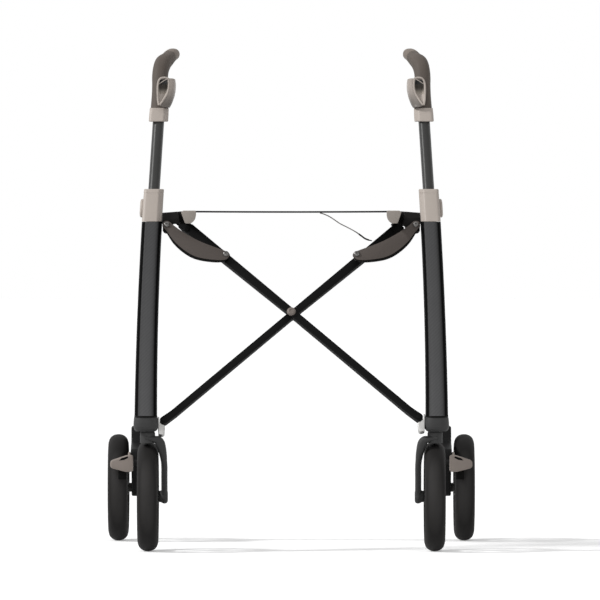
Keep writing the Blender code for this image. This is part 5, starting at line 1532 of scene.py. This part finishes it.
    def build_clevis(self, side: Side) -> None:
        """Add the bright foot bracket under one bar's low end, with its pin.

        Args:
            side: the side.
        """
        x = LAY.low_pivot[0]
        high = self.face(Side(-side.value))
        tip = high + 0.0014
        outline = fillet([(x - 0.0012, -0.0284), (x + 0.0094, -0.0262), (x + 0.0108, 0.0040),
                          (x + 0.0078, 0.0070), (x + 0.0074, -0.0040), (x + 0.0030, -0.0086),
                          (x - 0.0024, -0.0098)],
                         [0.0045, 0.003, 0.001, 0.001, 0.003, 0.003, 0.003], 4)
        block = slab(outline, high - self.bar_depth, high, 0.0012, LAY.plane())
        pin = spun([(0.0040, high + LAY.gap), (0.0040, tip - 0.0004), (0.0034, tip)],
                   LAY.plane((x, 0.0)))
        fit(side, "foot_clevis", block, BRIGHT, "frame", "hinge_bracket")
        fit(side, "clevis_pin", pin, BAR, "frame")

    def build(self) -> None:
        """Add the bars, their pivot, the link plates and the foot brackets."""
        for bar, side, extra in (("rear", Side.RIGHT, 0.0070), ("front", Side.LEFT, 0.0002)):
            high = self.face(side)
            mesh = slab(self.bar(extra), high - self.bar_depth, high, 0.0014, LAY.plane())
            Piece(bar + "_flat_bar", mesh, BAR, bar + "_bar", [bar + "_cross_bar"],
                  side is Side.LEFT).make()
        face = self.face(Side.LEFT) + LAY.gap
        spot = LAY.plane((0.0, self.crossing()[0] - 0.0030))
        cap = spun([(radius, face + rise) for radius, rise in (
            (0.0077, 0.0), (0.0077, 0.0010), (0.0071, 0.0026), (0.0058, 0.0037),
            (0.0048, 0.0042), (0.0034, 0.0042), (0.0030, 0.0034), (0.0, 0.0032))], spot, 40)
        rivet = spun([(0.0062, -face), (0.0058, -face - 0.0014), (0.0040, -face - 0.0020)],
                     spot, 32)
        Piece("domed_pivot_cap", merged(cap, rivet), SHADED_PIVOT_BEIGE, "front_bar",
              ["centre_pivot"]).make()
        for side in Side:
            self.build_links(side)
            self.build_clevis(side)


@dataclass
class Seat:
    """The seat rails with their caps and tongues, the sling between them, and the cord."""

    front: float = -0.1400
    rear: float = 0.0880
    rail_width: float = 0.0205
    rail_shift: float = 0.00125
    rail_height: float = 0.0224
    cap: float = 0.0075
    cloth_inset: float = 0.002
    cloth_thick: float = 0.0030
    sag: float = 0.0006
    cord_radius: float = 0.001
    sleeve_radius: float = 0.0015
    sleeve_from: int = 26
    sleeve_to: int = 38
    cord_route: Sequence[Point3] = (
        (0.0500, -0.1120, 0.5831), (0.0560, -0.1123, 0.5815), (0.0652, -0.1128, 0.5775),
        (0.0750, -0.1137, 0.5714), (0.0845, -0.1148, 0.5648), (0.0980, -0.1165, 0.5580),
        (0.1122, -0.1183, 0.5502), (0.1215, -0.1197, 0.5436), (0.1275, -0.1207, 0.5392),
        (0.1335, -0.1216, 0.5366), (0.1400, -0.1222, 0.5350))

    @property
    def edge(self) -> float:
        """How far out the cloth reaches, to the rails' inner faces."""
        return LAY.rail_x + self.rail_shift - self.rail_width / 2 - LAY.gap

    def section(self, width: float, height: float, shift: float = 0.0) -> list[Point2]:
        """A rail's section: flat on top, slanted outboard and round inboard.

        Args:
            width: its width.
            height: its height.
            shift: how far outboard of the rails' line its middle lies.

        Returns:
            The outline, in x and z.
        """
        w, top = width / 2, LAY.seat_top
        points = [(-w, top - 0.0020), *((w * wide, top - height * deep) for wide, deep in (
            (-0.99, 0.40), (-0.86, 0.68), (-0.60, 0.88), (-0.24, 1.0), (0.34, 1.0),
            (0.50, 0.94))), (w, top - 0.0030), (w - 0.0040, top), (-w + 0.0015, top)]
        radii = [0.001, 0.01, 0.01, 0.01, 0.006, 0.002, 0.002, 0.002, 0.002, 0.001]
        return [(x + LAY.rail_x + shift, z) for x, z in fillet(points, radii, 3)]

    def rail(self) -> Mesh:
        """The rail's tube."""
        return slab(self.section(self.rail_width, self.rail_height, self.rail_shift), 0.0,
                    self.rear - self.front, 0.0004, front_place(self.front), 1)

    def end_cap(self) -> Mesh:
        """The cap on the rail's front end."""
        return slab(self.section(0.026, 0.0226), 0.0, self.cap, 0.0018,
                    front_place(self.front - LAY.gap - self.cap), 4)

    def tongue(self, side: Side) -> Mesh:
        """The tongue behind a bar's top end that carries the rail, with its pin.

        Args:
            side: the side that the bar's top end is on.

        Returns:
            The mesh.
        """
        bars = CrossFrame()
        face = bars.face(side)
        high = face - bars.bar_depth - 0.0004
        x, z = LAY.top_pivot
        base = LAY.seat_top - self.rail_height - 0.0006
        rise = (base - z - high * sin(LAY.lean)) / cos(LAY.lean)
        place = LAY.plane(LAY.in_plane(x, z))
        outline = [(-0.0058, rise), *arc((0.0, 0.0), 0.0058, 180, 360, 12), (0.0058, rise)]
        pin = spun([(0.0030, high - 0.0034), (0.0030, face + LAY.gap), (0.0042, face + LAY.gap),
                    (0.0042, face + 0.0010), (0.0036, face + 0.0016)], place)
        return merged(slab(outline, high - 0.0040, high, 0.0004, place, 1), pin)

    def sling(self) -> Mesh:
        """The cloth between the rails: a thin sheet that sags a little.

        Returns:
            The mesh, with its UVs in metres.
        """
        front, rear = self.front + self.cloth_inset, self.rear - self.cloth_inset
        bm = bmesh.new()
        bmesh.ops.create_grid(bm, x_segments=40, y_segments=28, size=0.5)
        bmesh.ops.scale(bm, vec=(2 * self.edge, rear - front, 1.0), verts=bm.verts)
        bmesh.ops.translate(bm, vec=(0.0, (front + rear) / 2, LAY.seat_top - 0.0004),
                            verts=bm.verts)
        for vert in bm.verts:
            vert.co.z -= self.sag * (1 - (vert.co.x / self.edge) ** 2)
        layer = bm.loops.layers.uv.new("cloth")
        for face in bm.faces:
            for loop in face.loops:
                loop[layer].uv = (loop.vert.co.x, loop.vert.co.y)
        bmesh.ops.solidify(bm, geom=list(bm.faces), thickness=self.cloth_thick)
        return bm

    def build_cord(self) -> None:
        """Add the thin cord between the seat and the rear bar, with the sleeve on it."""
        path = smooth(self.cord_route, 4)
        sleeve = tube(path[self.sleeve_from:self.sleeve_to], self.sleeve_radius)
        mesh = merged(tube(path, self.cord_radius), sleeve)
        made = Piece("thin_cord", mesh, CORD, None, ["seat_cord"]).make()
        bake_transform(made)

    def build(self) -> None:
        """Add the rails with what they carry, and the cloth."""
        for side in Side:
            fit(side, "shield_rail", self.rail(), CARBON, "rail", "seat_rail")
            fit(side, "beige_rail_cap", self.end_cap(), SHADED_CAP_BEIGE, "rail", "rail_cap")
            fit(side, "rail_tongue", self.tongue(side), CASTING, "rail", "rail_bracket")
        cloth = Piece("sling_seat", self.sling(), CLOTH, None,
                      ["left_seat_half", "right_seat_half"]).make()
        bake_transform(cloth)


# The studio

def staged(name: str, data: bpy.types.ID, place: Sequence[float], turn: object
           ) -> bpy.types.Object:
    """Add a camera, a lamp or the floor at a place, turned by Euler angles.

    Args:
        name: its name.
        data: what it shows.
        place: where it stands.
        turn: its Euler angles.

    Returns:
        The object.
    """
    made = bpy.data.objects.new(name, data)
    made.location = place
    made.rotation_euler = turn
    bpy.context.scene.collection.objects.link(made)
    return made


def aimed(way: Vector) -> object:
    """The Euler angles of a lamp that shines along a direction."""
    return way.to_track_quat("-Z", "Y").to_euler()


@dataclass
class Studio:
    """The camera, the lights and the pale floor."""

    distance: float = 14.251
    height: float = 0.5867
    focal_pixels: float = 8132.0
    horizon_row: float = 211.0
    middle_column: float = 291.3
    image: float = 600.0
    aim: Point3 = (0.0, 0.0, 0.40)
    lamps: Sequence[tuple[str, Point3, float, float]] = (
        ("front_softbox", (-1.2, -3.2, 2.0), 1.8, 26.0),
        ("right_softbox", (2.6, -1.4, 1.2), 1.5, 8.0),
        ("top_softbox", (0.2, 0.3, 3.0), 2.0, 8.0))
    sun: float = 2.6
    ambient: float = 0.42
    glow: float = 0.30

    def camera(self) -> None:
        """Add the camera at the photograph's angle."""
        data = bpy.data.cameras.new("camera")
        data.sensor_width = 36.0
        data.lens = self.focal_pixels * data.sensor_width / self.image
        data.clip_end = 100.0
        tilt = (self.image / 2 - self.horizon_row) / self.focal_pixels
        pan = (self.image / 2 - self.middle_column) / self.focal_pixels
        bpy.context.scene.camera = staged("camera", data, (0.0, -self.distance, self.height),
                                          (pi / 2 - tilt, 0.0, -pan))

    def lights(self) -> None:
        """Add the soft lamps and the wide sun."""
        for name, place, size, power in self.lamps:
            lamp = bpy.data.lights.new(name, "AREA")
            lamp.shape = "SQUARE"
            lamp.size = size
            lamp.energy = power
            staged(name, lamp, place, aimed(Vector(self.aim) - Vector(place)))
        sun = bpy.data.lights.new("wide_sun", "SUN")
        sun.energy = self.sun
        sun.angle = radians(9)
        staged("wide_sun", sun, (0.0, 0.0, 0.0), aimed(Vector((1.0, 0.20, -0.85))))

    def world(self) -> None:
        """Add a dim world that is white to the camera and in reflections."""
        world = bpy.data.worlds.new("studio")
        world.use_nodes = True
        world.node_tree.nodes.clear()
        nodes = Nodes(world.node_tree)
        ray = nodes.add("LightPath").outputs
        seen = nodes.maths("MAXIMUM", ray["Is Camera Ray"], ray["Is Transmission Ray"])
        seen = nodes.maths("MAXIMUM", seen, ray["Is Glossy Ray"])
        plain, white = (nodes.add("Background", Color=WHITE, Strength=level).outputs[0]
                        for level in (self.ambient, 1.0))
        nodes.add("OutputWorld", Surface=nodes.filled("MixShader", seen, plain, white))
        bpy.context.scene.world = world

    def floor(self) -> None:
        """Add the pale floor, which keeps the object's shadow."""
        bm = bmesh.new()
        bmesh.ops.create_grid(bm, x_segments=1, y_segments=1, size=40.0)
        mesh = bpy.data.meshes.new("floor")
        bm.to_mesh(mesh)
        bm.free()
        made = staged("floor", mesh, (0.0, 0.0, 0.0), (0.0, 0.0, 0.0))
        finish = bpy.data.materials.new("pale_floor")
        finish.use_nodes = True
        finish.node_tree.nodes.clear()
        nodes = Nodes(finish.node_tree)
        ray = nodes.add("LightPath").outputs
        seen = nodes.maths("MAXIMUM", ray["Is Camera Ray"], ray["Is Glossy Ray"])
        matt = nodes.add("BsdfDiffuse", Color=(0.80, 0.80, 0.80, 1.0)).outputs[0]
        glow = nodes.add("Emission", Color=WHITE,
                         Strength=nodes.maths("MULTIPLY", seen, self.glow)).outputs[0]
        nodes.add("OutputMaterial", Surface=nodes.filled("AddShader", matt, glow))
        mesh.materials.append(finish)

    def build(self) -> None:
        """Set the scene up."""
        self.camera()
        self.lights()
        self.world()
        self.floor()
        bpy.context.scene.view_settings.view_transform = "Standard"


def dress_plain_nodes(frame: dict) -> None:
    """Give the front axles, the only CAD nodes that stay in view, their finish.

    Args:
        frame: the loaded frame.
    """
    for side in Side:
        for slot in frame["nodes"][side.word("front_axle")].material_slots:
            slot.material = STEEL.material()


def main() -> None:
    """Build every sub-assembly."""
    logging.basicConfig(level=logging.INFO, format="%(message)s")
    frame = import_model()
    bpy.context.view_layer.update()
    Studio().build()
    seat = Seat()
    seat.build_cord()
    for side in Side:
        FrontLeg(side).build()
        Caster(side).build()
        Handle(side).build()
        RearLeg(side).build()
        Wheel(side, "front", LAY.front_x, -LAY.axle_y).build()
        Wheel(side, "rear", LAY.rear_x, LAY.axle_y).build()
    CrossFrame().build()
    seat.build()
    dress_plain_nodes(frame)
    bpy.context.view_layer.update()


if __name__ == "__main__":
    main()
